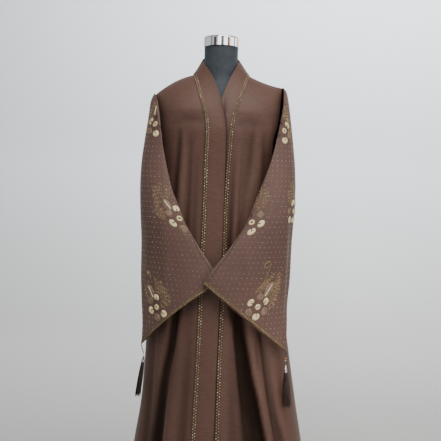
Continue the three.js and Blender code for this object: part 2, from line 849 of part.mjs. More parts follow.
function neckCap() {
  const { radius, bottom, side, bevel, crown, top } = CAP;
  const profile = [
    [0, bottom],
    [radius, bottom],
    [radius, side - bevel],
    [radius - bevel, side],
    [crown.radius, crown.z],
    [0, top],
  ];
  return lathe(profile, 32);
}

function standBase() {
  const { baseRadius, baseHeight, edge } = STAND;
  const profile = [
    [0, 0],
    [baseRadius - edge, 0],
    [baseRadius, edge],
    [baseRadius, baseHeight - edge],
    [baseRadius - edge, baseHeight],
    [0, baseHeight],
  ];
  return lathe(profile, 48);
}

function standPole() {
  const bottom = STAND.baseHeight + SEAM;
  const profile = [
    [0, bottom],
    [STAND.poleRadius, bottom],
    [STAND.poleRadius, STAND.poleTop],
    [0, STAND.poleTop],
  ];
  return lathe(profile, 20);
}

// ---------------------------------------------------------------- the model

const CREPE = new THREE.MeshStandardMaterial({ color: 0x6b5249, roughness: 0.62 });
const BAND_CREPE = new THREE.MeshStandardMaterial({ color: 0x705549, roughness: 0.6 });
const GOLD_BRAID = new THREE.MeshStandardMaterial({ color: 0xa08c5a, roughness: 0.4, metalness: 0.6 });
const JERSEY = new THREE.MeshStandardMaterial({ color: 0x2b3036, roughness: 0.85 });
const CHROME = new THREE.MeshStandardMaterial({ color: 0xd8d8d8, roughness: 0.12, metalness: 1 });
const BEAD = new THREE.MeshStandardMaterial({ color: 0xc0622a, roughness: 0.3 });
const SILK = new THREE.MeshStandardMaterial({ color: 0x2c211d, roughness: 0.5 });

const model = new THREE.Group();

function add(name, geometry, material) {
  geometry.deleteAttribute('normal');
  geometry.deleteAttribute('uv');
  const mesh = new THREE.Mesh(geometry, material);
  mesh.name = name;
  model.add(mesh);
}

add('form_torso', formTorso(), JERSEY);
add('neck_cap', neckCap(), CHROME);
add('stand_pole', standPole(), CHROME);
add('stand_base', standBase(), CHROME);
for (const side of ['left', 'right']) {
  add(`back_panel_${side}`, backPanel(side), CREPE);
  add(`front_panel_${side}`, frontPanel(side), CREPE);
  add(`front_band_${side}`, frontBand(side), BAND_CREPE);
  add(`trim_${side}`, frontBraid(side), GOLD_BRAID);
  add(`sleeve_${side}`, sleeve(side), CREPE);
  add(`cuff_trim_${side}`, cuffBraid(side), GOLD_BRAID);
  add(`tassel_cord_${side}`, tasselCord(side), BEAD);
  add(`tassel_${side}`, tassel(side), SILK);
}

export default model;
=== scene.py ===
"""The looks of an open-front abaya on a limbless dress form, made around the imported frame.

Sizes are millimetres in this script and become metres where a mesh is made. +Z is up, the
front faces -Y, +X is the viewer's right, and "left" and "right" are the viewer's.
"""

import math

import bpy
import numpy as np
from mathutils import Matrix, Vector


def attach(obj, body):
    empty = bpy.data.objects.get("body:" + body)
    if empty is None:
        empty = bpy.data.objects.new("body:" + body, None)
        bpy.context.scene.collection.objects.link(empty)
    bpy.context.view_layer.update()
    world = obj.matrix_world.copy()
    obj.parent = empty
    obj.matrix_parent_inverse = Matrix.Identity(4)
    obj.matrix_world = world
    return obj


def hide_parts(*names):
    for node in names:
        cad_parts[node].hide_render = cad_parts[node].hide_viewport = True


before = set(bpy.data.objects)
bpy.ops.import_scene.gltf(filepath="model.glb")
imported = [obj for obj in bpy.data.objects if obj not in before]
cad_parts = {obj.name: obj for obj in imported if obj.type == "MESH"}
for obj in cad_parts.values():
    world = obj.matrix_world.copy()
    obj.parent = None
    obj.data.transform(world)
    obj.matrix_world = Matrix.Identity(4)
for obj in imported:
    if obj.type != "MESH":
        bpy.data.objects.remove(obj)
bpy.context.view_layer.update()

MM = 0.001
SIGN = {"left": -1, "right": 1}
rng = np.random.default_rng(7)

# ---------------------------------------------------------------- sizes of the garment

CLOTH = 1.8
SEAM = 0.3
BRAID_WIDTH, BRAID_INSET = 11, 0.5
HEM_Z = 40
CHEST_Z = 1330
UNDERARM_Z = 1150
RIDGE_Y = 2
SHOULDER_NECK_Z = 1455
ARMHOLE_GAP = 0.8
SHOULDER_TIPS = {"left": (-198.5, 1392, 9), "right": (190, 1422, -4)}  # x, z and the seam's crown
YOKE_ROUND = 1.5
BODY_ROUND = 2.3
LAP_RISE, LAP_FULL_Z, LAP_FREE_Z = 3.4, 1372, 1402
COLLAR = {"top_x": 56, "top_y": 58, "top_z": 1504, "back_rise": 16, "neck_depth": 64, "neck_rise": 15}
FOLD_RADIUS = 4
FOLD_STEP = math.sin(2 * math.pi / 26)
FOLD_SHARPNESS = (0.3, 0.8)
CREASE_START = 0.15  # the share of a sleeve over which its creases set in below the armhole
EDGE_FADE = 0.06  # the share of a panel beside its seam where the creases fade out
SEAM_CLOSED = {"push": 2.2, "rise": 12, "top": 1262, "fall": 30}


def table(columns, rows):
    """A short table: one array for each named column."""
    return dict(zip(columns.split(), np.array(rows, float).T))


def folds(*places):
    """Folds down the cloth: where each one runs, and how deep and wide it is there."""
    return [table("z x depth width", rows) for rows in places]


def folds_across(*places):
    """The same for folds across it."""
    return [table("x z depth width", rows) for rows in places]


BODY = table("z front back left right", [
    [1330, 111, 92, 186, 186],
    [1285, 117, 95, 181, 183],
    [1230, 115, 96, 174, 176],
    [1150, 113, 98, 170, 172],
    [1050, 116, 104, 178, 180],
    [950, 121, 112, 189, 191],
    [850, 128, 122, 199, 204],
    [750, 135, 132, 206, 215],
    [650, 142, 143, 209, 229],
    [550, 151, 154, 213, 245],
    [440, 162, 168, 221, 263],
    [320, 175, 184, 239, 284],
    [180, 190, 202, 256, 300],
    [40, 204, 218, 268, 309],
])
ARMHOLE = table("z left right", [
    [1330, 184, 182],
    [1300, 179, 176],
    [1268, 173, 167],
    [1240, 168, 161],
    [1205, 163, 161],
    [1175, 164, 165],
    [1150, 170, 172],
])
EDGES = table("z seam_left free_left seam_right free_right", [
    [1330, -44, 16, 50, -8],
    [1285, -39, 22, 44, -15],
    [1230, -40, 23, 41, -18],
    [1154, -41, 23, 36, -20],
    [1040, -42, 22, 33, -22],
    [930, -44, 21, 33, -22],
    [750, -46, 17, 30, -24],
    [600, -49, 14, 27, -27],
    [434, -54, 12, 26, -28],
    [250, -58, 9, 24, -31],
    [40, -62, 6, 22, -34],
])
COLLAR_FREE = table("s z left_x right_x left_y right_y", [
    [0, 1504, -56, 56, 2, 2],
    [0.2, 1484, -48, 50, -30, -29],
    [0.4, 1459, -31, 38, -54, -53],
    [0.6, 1421, -13, 21, -78, -77],
    [0.8, 1372, 5, 4, -99.5, -96.5],
    [1, 1330, 16, -8, -110.4, -109],
])
COLLAR_DROPS = table("s drop", [[0, 0], [0.2, 0.05], [0.4, 0.16], [0.6, 0.33], [0.8, 0.55], [1, 1]])
SEAM_AT_SHOULDER = {"left": -84, "right": 90}

FRONT_FOLDS = {
    "left": folds(
        [[1300, -85, 0, 12], [1220, -89, 6, 12], [1014, -95, 9, 13], [850, -108, 12, 14],
         [717, -123, 17, 16], [537, -140, 24, 18], [355, -159, 28, 21], [40, -182, 30, 27]],
        [[760, -168, 0, 12], [620, -181, 7, 12], [430, -193, 12, 14], [40, -226, 15, 18]],
        [[820, -66, 0, 10], [640, -74, 5, 12], [400, -90, 9, 15], [40, -108, 14, 20]],
    ),
    "right": folds(
        [[1300, 82, 0, 12], [1225, 81, 6, 12], [1019, 74, 9, 13], [850, 74, 14, 13], [737, 76, 23, 14],
         [604, 99, 31, 16], [484, 124, 34, 19], [364, 157, 36, 22], [40, 205, 38, 28]],
        [[760, 140, 0, 12], [672, 152, 7, 12], [445, 189, 14, 14], [354, 211, 16, 15],
         [40, 254, 19, 19]],
        [[700, 52, 0, 10], [500, 62, 6, 13], [300, 80, 10, 17], [40, 108, 14, 22]],
    ),
}
BACK_FOLDS = folds(
    [[1280, -108, 0, 14], [1050, -112, 7, 17], [700, -124, 16, 21], [40, -176, 26, 32]],
    [[1180, -42, 0, 14], [900, -48, 8, 18], [500, -58, 15, 24], [40, -84, 20, 31]],
    [[1080, 26, 0, 14], [760, 34, 9, 19], [400, 52, 17, 25], [40, 76, 22, 32]],
    [[1290, 100, 0, 14], [1000, 108, 9, 18], [640, 132, 18, 23], [40, 204, 27, 34]],
)

# A row is one section of the flattened sleeve: its inner fold (a), its outer fold (b), how far
# the two layers bow away from the line between them, and the middle's rise and drop.
SLEEVE = "ax ay az bx by bz out inn rise drop"
SLEEVES = {
    "left": table(SLEEVE, [
        [-176, -64, 1300, -170, 62, 1288, 27, 1, 100, 147],
        [-172, -75, 1268, -178, 70, 1262, 29, 2, 126, 143],
        [-167, -85, 1230, -187, 73, 1225, 36, 6, 140, 134],
        [-158, -93, 1190, -195, 71, 1185, 42, 9, 128, 122],
        [-147, -101, 1148, -204, 62, 1140, 51, 14, 106, 109],
        [-134, -110, 1102, -212, 48, 1090, 60, 20, 84, 92],
        [-113, -120, 1050, -220, 30, 1035, 66, 28, 60, 76],
        [-91, -129, 1000, -226, 8, 975, 64, 32, 36, 56],
        [-69, -135, 964, -228, -12, 910, 54, 30, 24, 38],
        [-45, -139, 928, -227, -34, 840, 44, 25, 16, 16],
        [-20, -142, 893, -222, -52, 770, 40, 22, 12, 2],
        [2, -144, 862, -216, -68, 700, 41, 23, 11, -8],
        [20, -145, 836, -216, -80, 634, 42, 24, 12, -14],
    ]),
    "right": table(SLEEVE, [
        [188, -66, 1300, 170, 62, 1290, 12.5, -2, 128, 148],
        [180, -78, 1266, 178, 70, 1262, 25, 1, 145, 142],
        [170, -87, 1230, 187, 73, 1225, 34, 5, 145, 133],
        [159, -95, 1190, 196, 70, 1185, 42, 8, 132, 121],
        [145, -103, 1150, 205, 60, 1140, 52, 13, 107, 109],
        [125, -112, 1102, 214, 46, 1090, 64, 20, 84, 91],
        [106, -123, 1050, 222, 28, 1035, 71, 28, 60, 74],
        [86, -134, 1000, 228, 4, 975, 69, 32, 36, 55],
        [64, -144, 966, 230, -22, 910, 58, 30, 22, 38],
        [38, -153, 930, 228, -48, 838, 48, 27, 12, 20],
        [10, -160, 893, 221, -70, 765, 40, 21, 6, 10],
        [-14, -165, 862, 220, -90, 694, 34, 15, 2, 4],
        [-32, -168, 830, 218, -106, 628, 29, 9, 0, 5],
    ]),
}
for section in SLEEVES.values():
    section["k"] = np.arange(len(section["ax"]), dtype=float)

FORM = table("z half front back round", [
    [782, 40, 26, 26, 2],
    [784, 118, 68, 66, 2],
    [800, 150, 84, 84, 2.1],
    [850, 164, 96, 98, 2.2],
    [920, 162, 97, 96, 2.2],
    [1000, 146, 91, 84, 2.2],
    [1080, 134, 85, 76, 2.2],
    [1150, 148, 88, 80, 2.2],
    [1215, 164, 95, 84, 2.2],
    [1285, 173, 101, 86, 2.2],
    [1330, 178, 97, 83, 2.2],
    [1370, 177, 82, 76, 2],
    [1393, 171, 70, 69, 1.8],
    [1412, 156, 61, 63, 1.5],
    [1432, 126, 53, 57, 1.35],
    [1446.5, 95, 49, 53, 1.4],
    [1457, 68, 48, 51, 1.7],
    [1468, 55, 49, 50, 2],
    [1500, 52, 50, 50, 2],
    [1540, 52, 51, 50, 2],
])

# ---------------------------------------------------------------- creases of the thin shell

# Softer folds that only the shell has: a trough's depth is positive, a ridge's negative.
FRONT_CREASES = {
    "left": folds(
        [[1292, -117, 0, 8], [1240, -119, 4, 8], [1130, -127, 6, 9], [1000, -136, 5, 11],
         [800, -150, 2, 12]],
        [[1290, -101, 0, 8], [1200, -104, -2.5, 9], [1050, -113, -2, 10], [800, -130, -1, 12]],
        [[1240, -62, 0, 8], [1100, -66, 1.8, 9], [900, -71, 2.5, 10], [700, -80, 1, 12]],
        [[620, -112, 0, 9], [420, -126, -5, 12], [40, -148, -8, 16]],
        [[770, -107, 0, 5], [724, -111, 5, 5], [659, -117, 6, 6], [600, -126, 5, 7], [540, -138, 0, 9]],
        [[760, -132, 0, 8], [700, -136, -5, 9], [600, -148, -4, 10], [500, -160, 0, 10]],
    ),
    "right": folds(
        [[1230, 47, 0, 6], [1130, 44, 3, 7], [1030, 42, 6, 7], [930, 43, 8, 8], [800, 50, 8, 10],
         [690, 62, 3, 12]],
        [[1240, 62, 0, 7], [1120, 58, -2.5, 8], [960, 58, -3, 8], [780, 62, -1, 9]],
        [[1320, 108, 0, 9], [1250, 98, 3, 9], [1170, 92, 2.5, 9], [1080, 84, 0, 9]],
        [[1290, 134, 0, 8], [1230, 138, 3, 9], [1150, 140, 4, 9], [1050, 134, 3, 10]],
        [[700, 92, 0, 8], [620, 114, -5, 9], [532, 134, -9, 11], [431, 160, -11, 13],
         [40, 232, -12, 18]],
        [[760, 66, 0, 7], [680, 70, 7, 8], [633, 76, 10, 9], [532, 90, 14, 14], [431, 106, 16, 19],
         [40, 160, 16, 30]],
        [[710, 137, 0, 5], [672, 143, 5, 5], [560, 159, 6, 6], [445, 178, 6, 7], [354, 194, 5, 8],
         [250, 212, 0, 10]],
    ),
}
BACK_CREASES = folds(
    [[1240, -76, 0, 9], [1050, -80, 3, 11], [760, -92, 4, 13], [40, -128, -6, 18]],
    [[1200, 4, 0, 10], [1000, 2, 2, 12], [640, -8, 5, 15], [40, -6, 8, 20]],
    [[1260, 66, 0, 9], [1090, 70, 3, 11], [700, 84, 3, 13], [40, 142, -7, 18]],
    [[1120, 138, 0, 10], [900, 148, 4, 12], [500, 170, 7, 15], [40, 236, 9, 18]],
    [[1120, -140, 0, 10], [880, -150, 4, 12], [460, -176, 7, 15], [40, -220, 9, 18]],
)
# The same across the cloth, row by row in x.
FRONT_ACROSS = {
    "left": folds_across(
        [[-150, 1296, 0, 14], [-118, 1308, 1.6, 15], [-80, 1312, 2.4, 15], [-52, 1308, 1.2, 14],
         [-40, 1306, 0, 14]],
        [[-150, 1332, 0, 16], [-110, 1344, -1.2, 15], [-60, 1346, -1.2, 15], [-40, 1342, 0, 14]],
    ),
    "right": folds_across(
        [[46, 1300, 0, 14], [62, 1303, 1.4, 14], [92, 1307, 2.2, 15], [122, 1302, 1.6, 15],
         [150, 1290, 0, 14]],
        [[46, 1336, 0, 14], [70, 1340, -1.2, 15], [112, 1338, -1.2, 15], [150, 1326, 0, 15]],
    ),
}
SLEEVE_CREASES = {
    "left": {
        "outer": folds(
            [[1140, -176, 0, 6], [1080, -177, 1.6, 6], [950, -177, 2.2, 7], [870, -173, 0, 8]],
            [[1010, -150, 0, 14], [900, -146, -2, 16], [780, -150, -2.5, 16], [700, -160, 0, 14]],
            [[1020, -206, 0, 8], [900, -204, -2.5, 9], [760, -198, -2, 9], [690, -196, 0, 8]],
        ),
        "inner": folds(
            [[1120, -196, 0, 8], [1000, -190, -3, 10], [880, -176, -4, 12], [760, -165, 0, 12]],
            [[1040, -150, 0, 10], [930, -120, -3, 12], [840, -96, 0, 12]],
        ),
    },
    "right": {
        "outer": folds(
            [[1090, 200, 0, 9], [1020, 206, -3.5, 10], [880, 207, -5, 10], [760, 203, -4, 9],
             [660, 198, 0, 9]],
            [[1060, 221, 0, 5], [960, 222, 3, 5], [820, 219, 4, 5], [690, 213, 1, 5]],
            [[1000, 150, 0, 16], [900, 160, 2, 18], [790, 165, 2, 18], [700, 165, 0, 14]],
            [[960, 80, 0, 14], [880, 96, -2, 16], [780, 108, 0, 14]],
        ),
        "inner": folds(
            [[1120, 196, 0, 8], [1000, 192, -3, 10], [880, 182, -4, 12], [760, 170, 0, 12]],
            [[1030, 140, 0, 10], [930, 116, -3, 12], [840, 92, 0, 12]],
        ),
    },
}

# ---------------------------------------------------------------- small tools


def mix(a, b, t):
    return a + (b - a) * t


def smooth(t):
    t = np.clip(t, 0, 1)
    return t * t * (3 - 2 * t)


def along(rows, key, by, at):
    """A smooth curve through a table's column, by one that runs steadily up or down."""
    x, y = rows[by], rows[key]
    at = np.asarray(at, float)
    if x[-1] < x[0]:
        x, at = -x, -at
    index = np.arange(len(x))
    before, after = np.maximum(index - 1, 0), np.minimum(index + 1, len(x) - 1)
    slope = (y[after] - y[before]) / (x[after] - x[before])
    i = np.clip(np.searchsorted(x, at, side="right") - 1, 0, len(x) - 2)
    span = x[i + 1] - x[i]
    t = np.clip((at - x[i]) / span, 0, 1)
    t2, t3 = t * t, t * t * t
    ends = (2 * t3 - 3 * t2 + 1) * y[i] + (3 * t2 - 2 * t3) * y[i + 1]
    return ends + ((t3 - 2 * t2 + t) * slope[i] + (t3 - t2) * slope[i + 1]) * span


def round_turns(count):
    return 2 * np.pi * np.arange(count) / count


def circle(u, v, size, turn):
    return u + size * np.cos(turn), v + size * np.sin(turn)


def stack(x, y, z):
    return np.stack(np.broadcast_arrays(x, y, z), axis=-1).astype(float)


def unit(v):
    return v / np.maximum(np.linalg.norm(v, axis=-1, keepdims=True), 1e-9)


def grid_normals(grid, wrap, turn):
    """Unit normals of a grid of points, whose columns close up to a ring where it wraps."""
    if wrap:
        across = np.roll(grid, -1, 1) - np.roll(grid, 1, 1)
    else:
        across = np.gradient(grid, axis=1)
    return unit(np.cross(across, np.gradient(grid, axis=0))) * turn


def grid_faces(rows, cols, wrap=False):
    i, j = np.meshgrid(np.arange(rows - 1), np.arange(cols if wrap else cols - 1), indexing="ij")
    k = (j + 1) % cols
    quads = np.stack([i * cols + j, (i + 1) * cols + j, (i + 1) * cols + k, i * cols + k], -1)
    return quads.reshape(-1, 4)


def strip(first, second):
    """Quads between two rows of point numbers."""
    return np.stack([first[:-1], first[1:], second[1:], second[:-1]], -1)


def strip_round(first, second):
    """Quads between two closed rows of point numbers."""
    return np.stack([first, np.roll(first, -1), np.roll(second, -1), second], -1)


def volume(points, quads):
    a, b, c, d = (points[quads[:, k]] for k in range(4))
    return (np.einsum("ij,ij->i", a, np.cross(b, c)) + np.einsum("ij,ij->i", a, np.cross(c, d))).sum()


def wall(outer, inner, wrap=False):
    """Points and faces of the closed wall between two grids."""
    rows, cols = outer.shape[:2]
    points = np.concatenate([outer.reshape(-1, 3), inner.reshape(-1, 3)])
    top = np.arange(rows * cols).reshape(rows, cols)
    if wrap:
        top = np.concatenate([top, top[:, :1]], axis=1)
    low = top + rows * cols
    faces = [grid_faces(rows, cols, wrap), grid_faces(rows, cols, wrap)[:, ::-1] + rows * cols]
    faces += [strip(top[0], low[0]), strip(low[-1], top[-1])]
    if not wrap:
        faces += [strip(low[:, 0], top[:, 0]), strip(top[:, -1], low[:, -1])]
    return points, np.concatenate(faces)


def facing_out(points, *groups):
    """The groups of faces, all turned over where the first one faces inwards."""
    turn = 1 if volume(points, groups[0]) > 0 else -1
    return [group[:, ::turn] for group in groups]


def mesh_piece(name, points, faces, materials, sharp=50, indices=None, shade=None):
    """A piece that rides on the one body. faces is a list of arrays, or one array. shade is the
    painted shade at each point, mostly how deep in a fold it lies, which the crepe darkens."""
    lists = faces if isinstance(faces, list) else [faces]
    mesh = bpy.data.meshes.new(name)
    mesh.from_pydata((points * MM).tolist(), [], [f for group in lists for f in group.tolist()])
    for material in materials if isinstance(materials, list) else [materials]:
        mesh.materials.append(material)
    if indices is not None:
        mesh.polygons.foreach_set("material_index", np.asarray(indices, np.int32))
    mesh.polygons.foreach_set("use_smooth", np.ones(len(mesh.polygons), bool))
    mesh.set_sharp_from_angle(angle=math.radians(sharp))
    # The fold attribute holds the painted shade.
    if shade is not None:
        depth = mesh.attributes.new("fold", "FLOAT", "POINT")
        depth.data.foreach_set("value", np.asarray(shade, np.float32))
    mesh.update()
    piece = bpy.data.objects.new(name, mesh)
    bpy.context.collection.objects.link(piece)
    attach(piece, "root")
    return piece


class Pile:
    """Gathers many small solids into one mesh."""

    def __init__(self):
        self.points, self.faces, self.indices, self.count = [], [], [], 0

    def add(self, points, faces, material=0):
        points = points.reshape(-1, 3)
        self.points.append(points)
        for group in faces if isinstance(faces, list) else [faces]:
            self.faces.append(group + self.count)
            self.indices.append(np.full(len(group), material))
        self.count += len(points)

    def piece(self, name, materials, slot, sharp=50):
        return mesh_piece(
            name, np.concatenate(self.points), self.faces, materials, sharp,
            np.concatenate(self.indices),
        )


TUBE_PINCH = 0.35


def tube(path, radius, sides=4, closed=False):
    """Points and quads of a tube along a path, with a pinched point at each free end."""
    path = np.asarray(path, float)
    n = len(path)
    if closed:
        ahead = unit(np.roll(path, -1, 0) - np.roll(path, 1, 0))
    else:
        ahead = unit(np.gradient(path, axis=0))
    helper = np.where(np.abs(ahead[:, 1:2]) < 0.8, [[0.0, 1.0, 0.0]], [[1.0, 0.0, 0.0]])
    side = unit(np.cross(ahead, helper))
    up = np.cross(side, ahead)
    turn = round_turns(sides)
    size = np.broadcast_to(np.asarray(radius, float), (n,)).copy()
    if not closed:
        size[[0, -1]] *= TUBE_PINCH
    ring = side[:, None] * np.cos(turn)[None, :, None] + up[:, None] * np.sin(turn)[None, :, None]
    points = path[:, None] + ring * size[:, None, None]
    faces = grid_faces(n, sides, True)
    first = np.arange(sides)
    last = first + (n - 1) * sides
    if closed:
        near, far = np.roll(first, -1), np.roll(last, -1)
        faces = np.concatenate([faces, np.stack([last, first, near, far], -1)])
    elif sides == 4:
        faces = np.concatenate([faces, first[None], last[None, ::-1]])
    return points.reshape(-1, 3), faces


# ---------------------------------------------------------------- the body's surface


def rounded(value, exponent):
    return np.sign(value) * np.abs(value) ** (2 / exponent)


def body_width(x, z):
    left, right = (along(BODY, side, "z", z) for side in SIGN)
    return np.where(x < 0, left, right)


def angle_at(x, width):
    part = np.clip(np.abs(x) / width, 0, 1)
    return np.sign(x) * np.arcsin(part ** (BODY_ROUND / 2))


def fold_depth(lines, x, z):
    """How deep the folds down the cloth are at a place; each one ends at its highest row."""
    total = np.zeros(np.broadcast(x, z).shape)
    for fold in lines:
        gap = (x - along(fold, "x", "z", z)) / along(fold, "width", "z", z)
        depth = along(fold, "depth", "z", z) * np.exp(-gap * gap)
        total += np.where(z <= fold["z"][0], depth, 0)
    return total


def across_depth(lines, x, z):
    """The same for folds across it, each within its own stretch of x."""
    total = np.zeros(np.broadcast(x, z).shape)
    for fold in lines:
        gap = (z - along(fold, "z", "x", x)) / along(fold, "width", "x", x)
        inside = (x >= fold["x"][0]) & (x <= fold["x"][-1])
        total += np.where(inside, along(fold, "depth", "x", x) * np.exp(-gap * gap), 0)
    return total


def large_depth(face, x, z):
    """How deep the body's large folds are, which the solids have too."""
    if face == "back":
        return fold_depth(BACK_FOLDS, x, z)
    left, right = (fold_depth(FRONT_FOLDS[side], x, z) for side in SIGN)
    return np.where(x < 0, left, right)


def body_point(face, x, z):
    """The body's outer face, with the large folds sunk into its round."""
    x, z = np.broadcast_arrays(np.asarray(x, float), np.asarray(z, float))
    width = body_width(x, z)
    angle = angle_at(x, width)
    depth = along(BODY, face, "z", z)
    out = -1 if face == "front" else 1
    y = out * depth * rounded(np.cos(angle), BODY_ROUND)
    inward = unit(stack(-np.sign(x) * np.abs(np.sin(angle)) / width, -out * np.cos(angle) / depth, 0))
    return stack(x, y, z) + inward * large_depth(face, x, z)[..., None]


def creases(face, x, z):
    if face == "back":
        return fold_depth(BACK_CREASES, x, z)
    left, right = (
        fold_depth(FRONT_CREASES[side], x, z) + across_depth(FRONT_ACROSS[side], x, z) for side in SIGN
    )
    return np.where(x < 0, left, right)


def creased(grid, normals, face, fade=1.0):
    """The grid with the shell's own creases sunk along its normals."""
    depth = creases(face, grid[..., 0], grid[..., 2]) * fade
    return grid - normals * depth[..., None]


# The depths at which large and fine folds turn dark, and how much a ridge takes off a trough.
SHADE = {"large": 15, "power": 2.4, "fine": 6, "ridge": 1.5}


def fold_shade(grid, face):
    """0 on the open cloth, towards 1 down in the folds, where little light comes in."""
    x, z = grid[..., 0], grid[..., 2]
    fine = creases(face, x, z)
    large = np.maximum(large_depth(face, x, z) + SHADE["ridge"] * np.minimum(fine, 0), 0)
    return 1 - np.exp(-((large / SHADE["large"]) ** SHADE["power"]) - np.maximum(fine, 0) / SHADE["fine"])


def shoulder_z(x, neck_x, tip):
    """The shoulder line's height, from the neck out to the tip over the seam's crown."""
    share = (x - neck_x) / (tip[0] - neck_x)
    return mix(SHOULDER_NECK_Z, tip[1], share) + tip[2] * 4 * share * (1 - share)


def fall(top, chest, drop):
    """Points on the cloth's way from the shoulder to the chest, at shares of the drop."""
    out = (1 - (1 - drop) ** YOKE_ROUND) ** (1 / YOKE_ROUND)
    return stack(*(mix(top[..., k], chest[..., k], share) for k, share in enumerate((drop, out, drop))))


# How finely the cloth is divided. The yoke's rows crowd towards the shoulder, where it bends most.
FRONT_COLUMNS, BACK_STEPS, BAND_COLUMNS, BRAID_COLUMNS = 60, 61, 22, 4
YOKE_ROWS, CHEST_ROWS, SKIRT_ROWS, NECK_ROWS, COLLAR_ROWS = 44, 36, 185, 40, 60
CHEST_STEP, SKIRT_TOP_Z = 5, 1144
YOKE_DROPS = np.linspace(0, 1, YOKE_ROWS)[:-1] ** 1.6
LOWER_Z = np.concatenate([
    np.linspace(CHEST_Z - CHEST_STEP, UNDERARM_Z, CHEST_ROWS),
    np.linspace(SKIRT_TOP_Z, HEM_Z, SKIRT_ROWS),
])

# ---------------------------------------------------------------- sleeves' surface


def sleeve_grid(side, downs, turns):
    """Points of a sleeve's outer face: down from 0 at the armhole to 1 at the cuff, turn round it."""
    rows = SLEEVES[side]
    k = downs * (len(rows["k"]) - 1)

    def at(key):
        return along(rows, key, "k", k)[:, None]

    a = stack(at("ax"), at("ay"), at("az"))
    b = stack(at("bx"), at("by"), at("bz"))
    chord = b - a
    away = unit(stack(chord[..., 1], -chord[..., 0], 0)) * SIGN[side]
    outer, inner = away * at("out")[..., None], away * at("inn")[..., None]
    outer[..., 2] = at("rise")
    inner[..., 2] = -at("drop")
    bow, half = (outer + inner) / 2, (outer - inner) / 2
    blunt = np.log(np.linalg.norm(half, axis=-1) / FOLD_RADIUS) / np.log(1 / FOLD_STEP)
    sharpness = np.clip(blunt, *FOLD_SHARPNESS)
    s = np.sin(turns)[None, :]
    swell = (np.sign(s) * np.abs(s) ** sharpness)[..., None]
    return a + chord * ((1 - np.cos(turns)) / 2)[None, :, None] + bow * (s * s)[..., None] + half * swell


SLEEVE_TURNS = round_turns(150)
SLEEVE_DOWNS = np.linspace(0, 1, 150)
STITCH = {"from_edge": 7.5, "depth": 0.7, "width": 1.3}


def sleeve_surface(side):
    """The fine outer face of a sleeve with its creases, and the normals."""
    grid = sleeve_grid(side, SLEEVE_DOWNS, SLEEVE_TURNS)
    normals = grid_normals(grid, True, -SIGN[side])
    x, z = grid[..., 0], grid[..., 2]
    round_it = np.sin(SLEEVE_TURNS)[None, :]
    fade = np.abs(round_it) ** 0.5 * smooth(SLEEVE_DOWNS / CREASE_START)[:, None]
    outer, inner = (fold_depth(SLEEVE_CREASES[side][layer], x, z) for layer in ("outer", "inner"))
    grid = grid - normals * (np.where(round_it > 0, outer, inner) * fade)[..., None]
    # A line of stitching follows the inner fold.
    from_fold = np.linalg.norm(grid - grid[:, :1], axis=-1)
    near = (from_fold - STITCH["from_edge"]) / STITCH["width"]
    grid = grid - normals * (STITCH["depth"] * np.exp(-near * near))[..., None]
    return grid, grid_normals(grid, True, -SIGN[side])


# ---------------------------------------------------------------- panels


def front_grid(side):
    """From the band's seam out to the side, and down from the shoulder to the hem."""
    sign = SIGN[side]
    share = np.linspace(0, 1, FRONT_COLUMNS)

    def rows_at(z):
        z = np.asarray(z, float)[:, None]
        width = along(BODY, side, "z", z)
        edge = np.where(z > UNDERARM_Z, along(ARMHOLE, side, "z", z), width)
        start = angle_at(along(EDGES, f"seam_{side}", "z", z) + sign * SEAM, width)
        stop = angle_at(sign * edge, width)
        x = width * rounded(np.sin(mix(start, stop, share)), BODY_ROUND)
        return body_point("front", x, z)

    chest = rows_at([CHEST_Z])[0]
    neck_x = SEAM_AT_SHOULDER[side] + sign * SEAM
    tip = SHOULDER_TIPS[side]
    part = (chest[:, 0] - chest[0, 0]) / (chest[-1, 0] - chest[0, 0])
    top_x = mix(neck_x, tip[0], part)
    top = stack(top_x, RIDGE_Y - SEAM / 2, shoulder_z(top_x, neck_x, tip))
    yoke = fall(top, chest, YOKE_DROPS[:, None])
    lower = rows_at(LOWER_Z)
    lower[lower[:, -1, 2] <= UNDERARM_Z, -1, 1] = -SEAM / 2
    return np.concatenate([yoke, chest[None], lower])


def level_normals(normals, column, axis, rows=slice(None)):
    """A wall's edge is cut squarely: its normals have no part along the axis there."""
    normals[rows, column, axis] = 0
    normals[:, column] = unit(normals[:, column])


def square_outer_seams(grid, normals):
    """Walls meet squarely at the shoulder, side and armhole seams."""
    normals[0] = unit(stack(normals[0, :, 0], 0, np.maximum(normals[0, :, 2], 0.5)))
    side_seam = grid[:, -1, 2] <= UNDERARM_Z
    normals[~side_seam, -1, 0] = 0
    level_normals(normals, -1, 1, side_seam)


def shell(name, grid, normals, shade, material, node, wrap=False):
    """One thickness of cloth inside the grid, with painted shade in its colour, mostly down in its folds.
    """
    points, faces = wall(grid, grid - normals * CLOTH, wrap)
    piece = mesh_piece(
        f"shell_{name}", points, facing_out(points, faces), material,
        shade=np.tile(shade.ravel(), 2),
    )
    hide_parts(node)


def creased_panel(grid, normals, face):
    """The panel's grid with its creases, which fade out beside the outer seam."""
    fade = smooth((1 - np.linspace(0, 1, grid.shape[1])) / EDGE_FADE)[None, :]
    return creased(grid, normals, face, fade)


def front_panel(side):
    grid = front_grid(side)
    normals = grid_normals(grid, False, -SIGN[side])
    square_outer_seams(grid, normals)
    level_normals(normals, 0, 0, grid[:, 0, 2] <= CHEST_Z)
    outer = creased_panel(grid, normals, "front")
    # The seam with the sleeve is sewn shut, so the edge comes up to it.
    z = outer[:, -1, 2]
    closed = smooth((z - UNDERARM_Z) / SEAM_CLOSED["rise"])
    closed = closed * smooth((SEAM_CLOSED["top"] - z) / SEAM_CLOSED["fall"])
    for column, push in ((-1, SEAM_CLOSED["push"]), (-2, SEAM_CLOSED["push"] / 2)):
        outer[:, column, 0] += SIGN[side] * push * closed
    shade = fold_shade(grid, "front")
    shell(f"front_{side}", outer, normals, shade, CREPE, f"front_panel_{side}")


